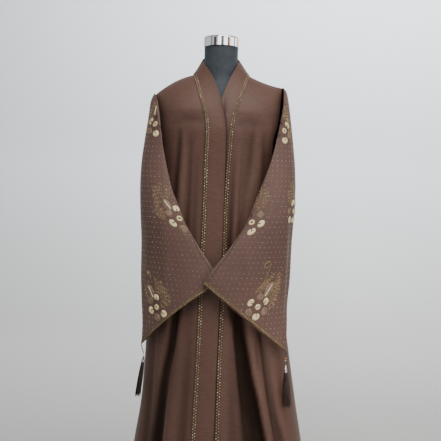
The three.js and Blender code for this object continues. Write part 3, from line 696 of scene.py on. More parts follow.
COLLAR_COLUMNS = table("column turn", [[0, 90], [1, 66], [2, 44], [3, 22], [4, 0]])
NECK_COLUMNS, BACK_COLUMNS = 4, 8
# The back's outer columns are drawn to the armhole.
PULL = {"start": 5, "width": 3, "drop": 0.02, "power": 4}


def armhole_back(side, z):
    """Back half of the sleeve's armhole end at a height: x and y."""
    turns = np.linspace(np.pi / 2, 1.5 * np.pi, 90)
    ring = sleeve_grid(side, np.array([0.0]), turns)[0][::-1]
    return np.interp(z, ring[:, 2], ring[:, 0]), np.interp(z, ring[:, 2], ring[:, 1])


def back_grid(side):
    """From the centre seam out to the side, and down from the shoulder to the hem."""
    sign = SIGN[side]
    column = np.linspace(0, BACK_COLUMNS, BACK_STEPS)
    share = column / BACK_COLUMNS

    def rows_at(z):
        z = np.asarray(z, float)[:, None]
        width = along(BODY, side, "z", z)
        hole_x, hole_y = armhole_back(side, z)
        above = z > UNDERARM_Z
        edge_x = np.where(above, hole_x - sign * ARMHOLE_GAP, sign * width)
        x = width * rounded(np.sin(angle_at(edge_x, width) * share), BODY_ROUND)
        points = body_point("back", x, z)
        reach = hole_y - body_point("back", edge_x, z)[..., 1]
        points[..., 1] += np.where(above, reach * share ** PULL["power"], 0)
        points[~above[:, 0], -1, 1] = SEAM / 2
        return points

    chest = rows_at([CHEST_Z])[0]
    neck_x = SEAM_AT_SHOULDER[side]
    tip = SHOULDER_TIPS[side]
    ridge = RIDGE_Y + SEAM / 2
    turn = np.radians(along(COLLAR_COLUMNS, "turn", "column", np.minimum(column, NECK_COLUMNS)))
    past_neck = (column - NECK_COLUMNS) / (BACK_COLUMNS - NECK_COLUMNS)
    line_x = mix(neck_x, tip[0], np.clip(past_neck, 0, 1))
    round_neck = column < NECK_COLUMNS
    neck = stack(
        (neck_x + sign * SEAM) * np.cos(turn),
        ridge + (COLLAR["neck_depth"] + SEAM) * np.sin(turn),
        SHOULDER_NECK_Z + COLLAR["neck_rise"] * np.sin(turn),
    )
    top = np.where(round_neck[:, None], neck, stack(line_x, ridge, shoulder_z(line_x, neck_x, tip)))
    drop = YOKE_DROPS[:, None]
    yoke = fall(top, chest, drop)
    hole_x, hole_y = armhole_back(side, yoke[:, -1, 2])
    pull = smooth((column - PULL["start"]) / PULL["width"])[None, :] * smooth(drop / PULL["drop"])
    yoke[..., 0] += pull * (hole_x - sign * ARMHOLE_GAP - yoke[:, -1, 0])[:, None]
    yoke[..., 1] += pull * (hole_y - yoke[:, -1, 1])[:, None]
    grid = np.concatenate([yoke, chest[None], rows_at(LOWER_Z)])
    grid[:, 0, 0] = sign * SEAM / 2
    return grid


def back_panel(side):
    grid = back_grid(side)
    normals = grid_normals(grid, False, SIGN[side])
    square_outer_seams(grid, normals)
    level_normals(normals, 0, 0)
    outer = creased_panel(grid, normals, "back")
    shell(f"back_{side}", outer, normals, fold_shade(grid, "back"), CREPE, f"back_panel_{side}")


# ---------------------------------------------------------------- bands


def band_edges(side):
    """Seam edge and free edge of a band, from the centre back down to the chest."""
    sign = SIGN[side]
    neck_x = SEAM_AT_SHOULDER[side]
    turn = np.radians(np.linspace(90, 0, NECK_ROWS)[:-1])
    c, s = np.cos(turn), np.sin(turn)

    def round_back(half, depth, z, rise):
        return stack(np.maximum(half * c, SEAM / 2) * sign, RIDGE_Y + depth * s, z + rise * s)

    round_seam = round_back(abs(neck_x), COLLAR["neck_depth"], SHOULDER_NECK_Z, COLLAR["neck_rise"])
    round_free = round_back(COLLAR["top_x"], COLLAR["top_y"], COLLAR["top_z"], COLLAR["back_rise"])
    chest = body_point("front", along(EDGES, f"seam_{side}", "z", CHEST_Z), CHEST_Z)
    down = np.linspace(0, 1, COLLAR_ROWS)
    drop = np.clip(along(COLLAR_DROPS, "drop", "s", down), 0, 1)
    front_seam = fall(np.array([neck_x, RIDGE_Y, SHOULDER_NECK_Z]), chest, drop)
    front_free = stack(*(along(COLLAR_FREE, key, "s", down) for key in (f"{side}_x", f"{side}_y", "z")))
    return np.concatenate([round_seam, front_seam]), np.concatenate([round_free, front_free])


def lap(side, z):
    """How far the left band lies out over the right one."""
    if side == "right":
        return np.zeros_like(z)
    return LAP_RISE * np.clip((LAP_FREE_Z - z) / (LAP_FREE_Z - LAP_FULL_Z), 0, 1)


def band_surface(side, shares):
    """Grid and normals of a band; shares(width) gives the places across it."""
    seam, free = band_edges(side)
    width = np.linalg.norm(free - seam, axis=-1)[:, None]
    upper = mix(seam[:, None], free[:, None], shares(width)[..., None])
    upper[..., 1] -= np.where(upper[..., 1] < 0, lap(side, upper[..., 2]), 0)
    z = LOWER_Z[:, None]
    start, stop = (along(EDGES, f"{edge}_{side}", "z", z) for edge in ("seam", "free"))
    x = mix(start, stop, shares(np.abs(stop - start)))
    lower = body_point("front", x, z)
    lower[..., 1] -= lap(side, z)
    grid = np.concatenate([upper, lower])
    normals = grid_normals(grid, False, SIGN[side])
    normals[0, :, 0] = 0
    normals[0] = unit(normals[0])
    level_normals(normals, 0, 0, grid[:, 0, 2] <= CHEST_Z)
    ahead = grid[..., 1] < 0
    return np.where(ahead[..., None], creased(grid, normals, "front"), grid), normals


ROLL = {"lift": 1.6, "start": 0.86, "width": 0.14, "fade": 60, "edge": 0.99, "edge_shade": 0.9}
# The painted shadow that the left band's free edge casts on the right band: how dark at most, and over
# how many millimetres it fades.
LAP_SHADE = {"most": 0.75, "reach": 3.5}


def even_shares(width):
    return np.broadcast_to(np.linspace(0, 1, BAND_COLUMNS), (len(width), BAND_COLUMNS))


def front_band(side):
    """The left band's free edge is rolled a little forward over the right band, with a dark line of
    painted shade along it and a painted shadow on the right band beside it.
    """
    grid, normals = band_surface(side, even_shares)
    share = np.linspace(0, 1, grid.shape[1])[None, :]
    ahead = smooth((LAP_FREE_Z - grid[..., 2]) / ROLL["fade"]) * (grid[..., 1] < 0)
    outer = grid
    if side == "left":
        lift = ROLL["lift"] * smooth((share - ROLL["start"]) / ROLL["width"]) * ahead
        outer = grid + normals * lift[..., None]
        # A dark line of painted shade along the free edge.
        shade = np.where(share > ROLL["edge"], ROLL["edge_shade"], 0.0) * ahead
    else:
        # The painted shadow of the left band's free edge.
        edge = along(EDGES, "free_left", "z", grid[..., 2])
        shade = LAP_SHADE["most"] * np.exp(-np.abs(grid[..., 0] - edge) / LAP_SHADE["reach"]) * ahead
    shell(f"band_{side}", outer, normals, shade, CREPE, f"front_band_{side}")


# ---------------------------------------------------------------- materials


def feed(tree, node, inputs):
    """Sets a node's inputs, each to a value or to another node's output."""
    for key, source in inputs.items():
        if isinstance(source, bpy.types.NodeSocket):
            tree.links.new(source, node.inputs[key])
        else:
            node.inputs[key].default_value = source


def add_node(tree, kind, inputs):
    node = tree.nodes.new(f"ShaderNode{kind}")
    feed(tree, node, inputs)
    return node


def node_material(name):
    material = bpy.data.materials.new(name)
    material.use_nodes = True
    return material, material.node_tree, material.node_tree.nodes["Principled BSDF"]


def noise(tree, scale, detail=2, rough=0.5, stretch=None):
    """A noise in the object's own coordinates, in features a metre."""
    place = add_node(tree, "TexCoord", {}).outputs["Object"]
    if stretch:
        place = add_node(tree, "Mapping", {"Scale": stretch, "Vector": place}).outputs["Vector"]
    settings = {"Scale": scale, "Detail": detail, "Roughness": rough, "Vector": place}
    return add_node(tree, "TexNoise", settings).outputs["Fac"]


def ramp(tree, source, low, high, start=0.35, stop=0.65):
    made = add_node(tree, "ValToRGB", {"Fac": source})
    for element, position, colour in zip(made.color_ramp.elements, (start, stop), (low, high)):
        element.position = position
        element.color = (*colour, 1)
    return made.outputs["Color"]


def bump(tree, shader, height, strength, distance):
    made = add_node(tree, "Bump", {"Strength": strength, "Distance": distance, "Height": height})
    feed(tree, shader, {"Normal": made.outputs["Normal"]})


def blend(tree, factor, first, second):
    """A colour between two others. A mix node's colours are its inputs 6 and 7, and its output 2."""
    made = tree.nodes.new("ShaderNodeMix")
    made.data_type = "RGBA"
    feed(tree, made, {"Factor": factor, 6: first, 7: second})
    return made.outputs[2]


def maths(tree, operation, *numbers):
    made = tree.nodes.new("ShaderNodeMath")
    made.operation = operation
    feed(tree, made, dict(enumerate(numbers)))
    return made.outputs["Value"]


SLUB = {"contrast": 0.12, "scale": 55, "stretch": (1, 1, 7)}
# The specular level is lowered deep in a fold as painted shade.
CREPE_SPECULAR = (0.28, 0.04)  # on the open cloth and deep in a fold


def crepe_material(name, dark, light, painted_shade, sheen):
    """Crepe: a fine pebbled grain, mottled a little, with a soft sheen, and painted shade: deep in the
    folds its colour goes to a dark colour and its sheen and specular fade.
    """
    material, tree, shader = node_material(name)
    # The fold attribute is the painted shade, which mixes the colour towards the painted shade colour.
    fold = tree.nodes.new("ShaderNodeAttribute")
    fold.attribute_name = "fold"
    fold = fold.outputs["Fac"]
    mottled = ramp(tree, noise(tree, 5, 3), dark, light)
    slub_dark = [c * (1 - SLUB["contrast"]) for c in dark]
    slub_light = [c * (1 + SLUB["contrast"]) for c in light]
    slub = ramp(tree, noise(tree, SLUB["scale"], 2, 0.6, SLUB["stretch"]), slub_dark, slub_light)
    feed(tree, shader, {
        "Base Color": blend(tree, fold, blend(tree, 0.5, mottled, slub), (*painted_shade, 1)),
        "Roughness": 0.6,
        "Sheen Roughness": 0.45,
        "Sheen Tint": (0.72, 0.56, 0.5, 1),
    })
    # Painted shade: the sheen and the specular fade down in the folds.
    for key, most, least in (("Sheen Weight", sheen, 0.0), ("Specular IOR Level", *CREPE_SPECULAR)):
        feed(tree, shader, {key: maths(tree, "MULTIPLY_ADD", fold, least - most, most)})
    bump(tree, shader, noise(tree, 900, 3, 0.6), 0.35, 0.0006)
    return material


def plain_material(name, colour, rough, metal=0.0, grain=600, grain_depth=0.0003, spread=0.12):
    material, tree, shader = node_material(name)
    low = tuple(c * (1 - spread) for c in colour)
    high = tuple(min(c * (1 + spread), 1) for c in colour)
    paint = ramp(tree, noise(tree, grain / 8, 2), low, high)
    feed(tree, shader, {"Base Color": paint, "Roughness": rough, "Metallic": metal})
    bump(tree, shader, noise(tree, grain, 2), 0.3, grain_depth)
    return material


def jersey_material(name):
    material, tree, shader = node_material(name)
    feed(tree, shader, {
        "Base Color": ramp(tree, noise(tree, 60, 3), (0.012, 0.0165, 0.022), (0.02, 0.027, 0.035)),
        "Roughness": 0.72,
        "Sheen Weight": 0.16,
        "Sheen Roughness": 0.5,
        "Sheen Tint": (0.55, 0.65, 0.75, 1),
    })
    bump(tree, shader, noise(tree, 1200, 2, 0.5, (3, 3, 1)), 0.4, 0.0005)
    return material


# Each crepe's third colour is the painted shade colour deep in its folds.
CREPE = crepe_material(
    "crepe", (0.066, 0.032, 0.0225), (0.084, 0.041, 0.029), (0.014, 0.0085, 0.006), 0.12
)
SLEEVE_CREPE = crepe_material(
    "sleeve_crepe", (0.078, 0.042, 0.033), (0.098, 0.053, 0.042), (0.016, 0.01, 0.008), 0.12
)
JERSEY = jersey_material("jersey")
CHROME = plain_material("chrome", (0.82, 0.82, 0.84), 0.06, 1.0, 200, 0.00002, 0.02)
STEEL = plain_material("brushed_steel", (0.62, 0.62, 0.63), 0.28, 1.0, 900, 0.00005, 0.05)
BRAID_BASE = plain_material("braid_base", (0.036, 0.018, 0.011), 0.95, 0.0, 1500, 0.0005, 0.25)
CUFF_BASE = plain_material("cuff_braid_base", (0.11, 0.068, 0.034), 0.9, 0.0, 1500, 0.0005, 0.25)
OLD_GOLD = plain_material("old_gold_thread", (0.07, 0.038, 0.02), 0.6, 0.0, 1600, 0.0004, 0.25)
GOLD = plain_material("gold_thread", (0.34, 0.24, 0.12), 0.4, 0.4, 1600, 0.0004, 0.25)
PALE_GOLD = plain_material("pale_gold_thread", (0.58, 0.5, 0.36), 0.36, 0.4, 1600, 0.0004, 0.2)
SILVER = plain_material("silver_bead", (0.74, 0.66, 0.5), 0.3, 0.55, 800, 0.0001, 0.1)

# ---------------------------------------------------------------- cloth pieces

for side in SIGN:
    front_panel(side)
    front_band(side)
    back_panel(side)

SURFACES = {side: sleeve_surface(side) for side in SIGN}
# Lines of painted shade beside a sleeve's piping: how far from its inner fold, how wide and how dark.
PIPING_SHADES = ((3.8, 1.6, 0.6), (9.5, 1.8, 0.5))
PIPING = {"places": (0, 6.5), "lift": 0.15, "radius": 1.1, "columns": 60, "first": 8, "last": 4}
# The piping is the sleeve's own crepe, painted lighter as a painted highlight on its rolls.
PIPING_CREPE_PAINTED_HIGHLIGHT = plain_material("piping_crepe_painted_highlight", (0.16, 0.1, 0.08), 0.55, 0.0, 900, 0.0004, 0.12)


def sleeve(side):
    grid, normals = SURFACES[side]
    inside = normals.copy()
    inside[0, :, 0] = 0
    inside[0] = unit(inside[0])
    from_fold = np.linalg.norm(grid - grid[:, :1], axis=-1)
    # Painted shade in lines beside the piping.
    shade = sum(painted_shade * np.exp(-(((from_fold - far) / wide) ** 2)) for far, wide, painted_shade in PIPING_SHADES)
    name = f"sleeve_{side}"
    shell(name, grid, inside, shade, SLEEVE_CREPE, name, True)


def piping(side):
    """Fine rolled lines along a sleeve's inner fold and down both of its layers beside it."""
    grid, normals = SURFACES[side]
    pile = Pile()
    rows = np.arange(PIPING["first"], len(grid) - PIPING["last"], 2)
    each = np.arange(len(rows))
    for way in (1, -1):
        columns = way * np.arange(PIPING["columns"])
        layer, away = grid[rows][:, columns], normals[rows][:, columns]
        reach = np.linalg.norm(np.diff(layer, axis=1), axis=-1).cumsum(axis=1)
        for distance in PIPING["places"]:
            if distance == 0 and way < 0:
                continue
            pick = np.array([np.searchsorted(row, distance) for row in reach])
            path = layer[each, pick] + away[each, pick] * PIPING["lift"]
            pile.add(*tube(path, PIPING["radius"]))
    pile.piece(f"piping_{side}", PIPING_CREPE_PAINTED_HIGHLIGHT, "sleeve_crepe")


for side in SIGN:
    sleeve(side)
for side in SIGN:
    piping(side)

# ---------------------------------------------------------------- braids

# Lozenge stitches in two columns, over crossing threads, with a cord along each edge.
BRAID = {
    "front": {"lift": 0.3, "pitch": 8.4, "column": 2.9, "half": 2.1, "tall": 2.4, "middle": 0.0,
              "reach": 4.4, "border": 5.3, "paint": BRAID_BASE},
    "cuff": {"lift": 0.6, "pitch": 7.4, "column": 1.9, "half": 1.4, "tall": 1.8, "middle": 1.3,
             "reach": 3.3, "border": 3.9, "paint": CUFF_BASE},
}
WOVEN = {"ground": 0.45, "above": 0.7, "end": 0.3, "stitch_end": 4.0, "gold": 0.75}
THREADS = {"count": 2, "radius": 0.22, "weave": 0.25, "border_radius": 0.26}


class Ribbon:
    """A strip of surface. A place is a length along it, a way across from its middle and a height."""

    def __init__(self, grid, normals, closed=False):
        if closed:
            grid = np.concatenate([grid, grid[:1]])
            normals = np.concatenate([normals, normals[:1]])
        self.grid, self.normals = grid, normals
        steps = np.linalg.norm(np.diff(grid.mean(axis=1), axis=0), axis=-1)
        self.length = np.concatenate([[0], np.cumsum(steps)])
        self.width = np.linalg.norm(grid[:, -1] - grid[:, 0], axis=-1).mean()
        self.total = self.length[-1]

    def at(self, length, across, height):
        length, across, height = np.broadcast_arrays(length, across, height)
        i = np.clip(np.searchsorted(self.length, length, side="right") - 1, 0, len(self.length) - 2)
        t = (length - self.length[i]) / (self.length[i + 1] - self.length[i])
        share = np.clip(across / self.width + 0.5, 0, 1) * (self.grid.shape[1] - 1)
        j = np.clip(share.astype(int), 0, self.grid.shape[1] - 2)
        u = share - j

        def pick(field):
            low = mix(field[i, j], field[i, j + 1], u[:, None])
            high = mix(field[i + 1, j], field[i + 1, j + 1], u[:, None])
            return mix(low, high, t[:, None])

        return pick(self.grid) + unit(pick(self.normals)) * height[:, None]


def ball(centre, radius, rings=4, sides=6):
    """Points and faces of a small bead."""
    lift = np.pi * (np.arange(rings) + 0.5) / rings
    flat, z = np.sin(lift)[:, None], np.cos(lift)[:, None]
    points = stack(*circle(0, 0, flat, round_turns(sides)), z) * radius + np.asarray(centre)
    return points.reshape(-1, 3), grid_faces(rings, sides, True)[:, ::-1]


def lozenge(ribbon, place, across, base, size):
    """A raised stitch: corners on the strip and a smaller face above them."""
    points = np.concatenate([
        ribbon.at(
            place + size["tall"] * share * np.array([1, 0, -1, 0]),
            across + size["half"] * share * np.array([0, 1, 0, -1]), height,
        )
        for share, height in ((1.0, base), (0.55, base + 0.75))
    ])
    rows = np.arange(8).reshape(2, 4)
    faces = np.concatenate([strip_round(rows[0], rows[1]), rows[0][None, ::-1], rows[1][None]])
    return points, facing_out(points, faces)


def braid(name, ribbon, kind, node):
    """A woven strip: a brown ground, crossing threads, a cord at each edge and gold stitches."""
    size = BRAID[kind]
    pile = Pile()
    ground = ribbon.grid + ribbon.normals * size["lift"]
    top = ribbon.grid + ribbon.normals * (size["lift"] + WOVEN["ground"])
    points, faces = wall(top, ground)
    pile.add(points, facing_out(points, faces))
    count = int(ribbon.total / size["pitch"] * 4)
    length = np.linspace(WOVEN["end"], ribbon.total - WOVEN["end"], count)
    above = size["lift"] + WOVEN["above"]
    for k in range(THREADS["count"]):
        phase = length / (2 * size["pitch"]) + k / THREADS["count"]
        across = size["middle"] + size["reach"] * (4 * np.abs(phase % 1 - 0.5) - 1)
        height = above + THREADS["weave"] * np.where((np.arange(count) // 2 + k) % 2 == 0, 1, -0.4)
        pile.add(*tube(ribbon.at(length, across, height), THREADS["radius"]), 1)
    coarse = np.linspace(0, ribbon.total, int(ribbon.total / 4))
    for edge in (-1, 1):
        path = ribbon.at(coarse, size["middle"] + edge * size["border"], above)
        pile.add(*tube(path, THREADS["border_radius"]), 1)
    places = np.arange(WOVEN["stitch_end"], ribbon.total - WOVEN["stitch_end"], size["pitch"] / 2)
    for k, place in enumerate(places):
        across = size["middle"] + (size["column"] if k % 2 else -size["column"])
        metal = 2 if rng.random() < WOVEN["gold"] else 3
        pile.add(*lozenge(ribbon, place, across, above - 0.2, size), metal)
    piece = pile.piece(name, [size["paint"], OLD_GOLD, GOLD, PALE_GOLD], "gold_braid")
    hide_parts(node)


def front_strip(side):
    def shares(width):
        return (BRAID_INSET + BRAID_WIDTH * np.linspace(0, 1, BRAID_COLUMNS)[None, :]) / width

    return Ribbon(*band_surface(side, shares))


CUFF_ROWS = 8


def cuff_strip(side):
    """The lowest stretch of a sleeve, one braid's width deep, as a ring of short rows."""
    grid, normals = SURFACES[side]
    hem = grid[-1]
    back = grid[-CUFF_ROWS] - hem
    reach = np.linalg.norm(back, axis=-1, keepdims=True)
    rows = [hem + back / reach * BRAID_WIDTH * share for share in np.linspace(1, 0, BRAID_COLUMNS)]
    around = np.repeat(normals[-3][:, None], BRAID_COLUMNS, axis=1)
    return Ribbon(np.stack(rows, axis=1), around, closed=True)


for side in SIGN:
    braid(f"braid_front_{side}", front_strip(side), "front", f"trim_{side}")
    braid(f"braid_cuff_{side}", cuff_strip(side), "cuff", f"cuff_trim_{side}")

# ---------------------------------------------------------------- charts of the sleeves


# A place is looked for where the cloth faces the viewer, or no more than this far past that.
SIDEWAYS, PAST_FOLD = 0.3, 12


class Chart:
    """A sleeve unrolled: s runs level round the cloth from its outer fold, q is the height."""

    STEP, LOW, HIGH, REACH = 3.0, 610.0, 1425, 420.0

    def __init__(self, side, lean):
        """lean is how far the chart's levels rise towards +X."""
        grid, normals = SURFACES[side]
        both = np.concatenate([grid, normals], axis=-1)
        both = np.concatenate([both, both[:, :1]], axis=1)
        self.way = -SIGN[side]
        height = both[..., 2] - lean * both[..., 0]
        levels = np.arange(self.LOW, self.HIGH, self.STEP)
        columns = both.shape[1]
        fields = np.full((len(levels), columns, 6), np.nan)
        for j in range(columns):
            h = height[::-1, j]
            start = int(np.argmax(h)) + 1
            for c in range(6):
                column = both[::-1, j, c][:start]
                fields[:, j, c] = np.interp(levels, h[:start], column, left=np.nan, right=np.nan)
        self.s = np.arange(-self.REACH, self.REACH + 1, self.STEP)
        self.field = np.full((len(levels), len(self.s), 6), np.nan)
        fold = columns // 2
        anchor = grid[0, fold, :2]
        layers = {1: np.arange(fold, -1, -1), -1: np.arange(fold, columns)}
        for row, made in zip(fields, self.field):
            for direction, order in layers.items():
                self.unroll(row, made, direction, order, fold, anchor)

    def unroll(self, row, made, direction, order, fold, anchor):
        """Lays one level of one layer out from the fold, as far as the cloth runs on unbroken."""
        valid = np.flatnonzero(~np.isnan(row[order, 0]))
        breaks = np.flatnonzero(np.diff(valid) > 1)
        run = order[valid[: breaks[0] + 1] if len(breaks) else valid]
        if len(run) < 3:
            return
        path = row[run]
        first = 0.0 if run[0] == fold else np.linalg.norm(path[0, :2] - anchor)
        steps = np.linalg.norm(np.diff(path[:, :3], axis=0), axis=-1)
        s = first + np.concatenate([[0], np.cumsum(steps)])
        reach = self.s * direction
        inside = (reach >= s[0]) & (reach <= s[-1])
        for c in range(6):
            made[inside, c] = np.interp(reach[inside], s, path[:, c])

    def at(self, s, q, height):
        """Points on the cloth, or nan where there is none."""
        s, q, height = np.broadcast_arrays(np.asarray(s, float), q, height)
        i = np.clip((q - self.LOW) / self.STEP, 0, self.field.shape[0] - 1.001)
        j = np.clip((s + self.REACH) / self.STEP, 0, self.field.shape[1] - 1.001)
        a, b = i.astype(int), j.astype(int)
        t, u = (i - a)[..., None], (j - b)[..., None]
        low = mix(self.field[a, b], self.field[a, b + 1], u)
        high = mix(self.field[a + 1, b], self.field[a + 1, b + 1], u)
        both = mix(low, high, t)
        return both[..., :3] + unit(both[..., 3:]) * height[..., None]

    def find(self, x, z, layer):
        """Where a place seen from the front (or the back) lies on the chart."""
        points, normals = self.field[..., :3], self.field[..., 3:]
        away = (points[..., 0] - x) ** 2 + (points[..., 2] - z) ** 2
        if layer == "outer":
            shown = (normals[..., 1] < SIDEWAYS) & (self.s[None, :] > -PAST_FOLD)
        else:
            shown = (normals[..., 1] > -SIDEWAYS) & (self.s[None, :] < 0)
        away = np.where(np.isnan(away) | ~shown, np.inf, away)
        i, j = np.unravel_index(np.argmin(away), away.shape)
        return self.s[j], self.LOW + i * self.STEP


# ---------------------------------------------------------------- embroidery

# The materials' places in the list below.
IVORY, PINK, THREAD, PAINTED_SHADE_DARK, SEED, MIDRIB = range(6)
EMBROIDERY = [
    plain_material("ivory_ribbon", (0.6, 0.49, 0.27), 0.5, 0.0, 700, 0.0006, 0.2),
    plain_material("pink_ribbon", (0.17, 0.1, 0.078), 0.55, 0.0, 700, 0.0006, 0.25),
    plain_material("gold_cord", (0.36, 0.26, 0.13), 0.42, 0.5, 1500, 0.0004, 0.3),
    plain_material("painted_shade_dark_centre", (0.02, 0.012, 0.01), 0.7),
    plain_material("seed_bead", (0.6, 0.47, 0.25), 0.28, 0.55, 800, 0.0001, 0.2),
    plain_material("midrib_ribbon", (0.82, 0.72, 0.56), 0.5, 0.0, 700, 0.0005, 0.15),
]
SEWN_IN = 0.35
PETAL = {"away": 28.5, "across": 10.8, "along": 10.0, "ivory": 2.4, "pink": 1.5,
         "dimples": ((3.2, 2.4), (6.4, 1.7), (8.8, 1.2))}
RING = {"major": 5.4, "minor": 2.7, "painted_shade_hole": 3.0}
FLOWER_REACH = 39
LEAF = {"half": 0.26, "height": 1.3, "edge": 1.08, "clear": 0.42}
PLUME = {"stem": 0.36, "pitch": 7.4, "loop": (3.3, 2.1), "thread": 0.34, "bead": 0.85,
         "side_pitch": 5, "side_bead": 0.75, "side_reach": 9.0, "clear": 0.36}
CURL = {"pitch": 9, "size": (3.8, 2.8), "turn": 0.9, "thread": 0.42, "clear": 0.3}
SCROLL = {"step": 1.7, "tail_step": 1.6, "bow": 9, "thread": 0.42, "bead": 0.7, "points": 34}

# Each flower: where its ring lies seen from the front or the back (x, z), the sleeve's layer, the
# turn of the whole spray, the petals clockwise from the top and the layout of the rest. A petal
# is ivory (i), pink (p) or an outline alone (o).
SPRAYS = {
    "right": [
        ((128, 766), "outer", 2, "pipipi", 1),
        ((104, 1012), "outer", 24, "ipiipi", 2),
        ((195, 1288), "outer", 8, "iipiip", 3),
        ((229, 1046), "outer", 30, "iipiip", 4),
        ((180, 760), "inner", 10, "pipipi", 1),
        ((170, 1010), "inner", 40, "ipipip", 2),
        ((205, 1230), "inner", 15, "pipipi", 3),
    ],
    "left": [
        ((-169, 754), "outer", -4, "ioipip", 5),
        ((-109, 1019), "outer", 0, "ipipip", 6),
        ((-190, 1296), "outer", 12, "ipiipi", 7),
        ((-185, 790), "inner", -8, "ipipip", 5),
        ((-165, 1000), "inner", 20, "pipipi", 6),
        ((-200, 1225), "inner", 6, "ipipip", 7),
    ],
}
# The rest of a spray, from the ring: leaves (u, v of both ends), scrolls (centre, radius, the
# tail's end), plumes of small loops and rows of curls (from, to, bow). u runs to the viewer's
# right and v up.
LAYOUTS = {
    1: {
        "leaves": [(16, 30, 34, 68)],
        "scrolls": [(-10, 122, 14, (-21, 42))],
        "plumes": [(-6, 44, 10, 74, 5), (8, 50, 26, 92, 5), (38, 44, 46, 92, -6), (36, 26, 58, 74, -6),
                   (42, 12, 62, 46, -6), (40, -4, 60, 16, -5)],
        "curls": [(44, -12, 54, 6, -4), (50, 60, 54, 104, -5)],
    },
    2: {
        "plumes": [(24, 30, 50, 82, -9), (12, 44, 36, 112, -8)],
        "curls": [(34, -10, 62, 56, -9), (58, 50, 44, 118, -6)],
    },
    3: {
        "plumes": [(4, 38, 6, 78, 3), (16, 34, 20, 84, -3), (-8, 40, -4, 92, 3), (28, 22, 32, 70, -3),
                   (-20, 34, -16, 80, 3), (26, -10, 36, 26, -3), (38, 20, 44, 66, -3),
                   (-32, 20, -30, 70, 3), (-38, -8, -42, 26, 3), (40, -30, 46, 6, -3),
                   (-2, 76, 2, 112, 3), (22, 80, 25, 116, -3), (10, 40, 13, 82, 3),
                   (-14, 44, -10, 88, -3)],
        "curls": [(10, 84, 12, 116, 3), (-18, 84, -14, 112, 3), (30, 78, 34, 110, 3)],
    },
    4: {
        "plumes": [(0, 38, 6, 92, -4), (-12, 34, -8, 74, 4)],
    },
    5: {
        "leaves": [(-13, 26, -31, 60)],
        "scrolls": [(-24, 96, 8, (-40, 62))],
        "plumes": [(2, 44, 2, 80, -5), (14, 42, 20, 76, -5), (24, 30, 34, 60, -5), (34, 16, 46, 40, -5),
                   (-36, 22, -46, 52, 5)],
        "curls": [(30, -2, 38, 14, -4), (24, 62, 18, 96, -5)],
    },
    6: {
        "leaves": [(-16, 26, -31, 54)],
        "plumes": [(-40, 12, -56, 44, 6), (-44, 0, -66, 20, 4), (-48, 44, -52, 88, 4),
                   (-36, 60, -34, 98, 4), (-20, 60, -18, 92, -3)],
        "curls": [(-42, 26, -64, 62, 5)],
    },
    7: {
        "leaves": [(-10, 30, -14, 62)],
        "plumes": [(-22, 24, -26, 70, 4), (4, 36, 0, 88, 3), (16, 34, 14, 84, 3), (-34, 8, -40, 54, 4),
                   (28, 20, 28, 68, 3), (-38, -18, -46, 12, 3)],
        "curls": [(-20, 74, -18, 104, 3), (8, 90, 8, 118, 3)],
    },
}


def turned(p, q, c, s):
    """An outline's points, turned by the angle whose cosine and sine are c and s."""
    return np.stack([p * c - q * s, p * s + q * c], -1)


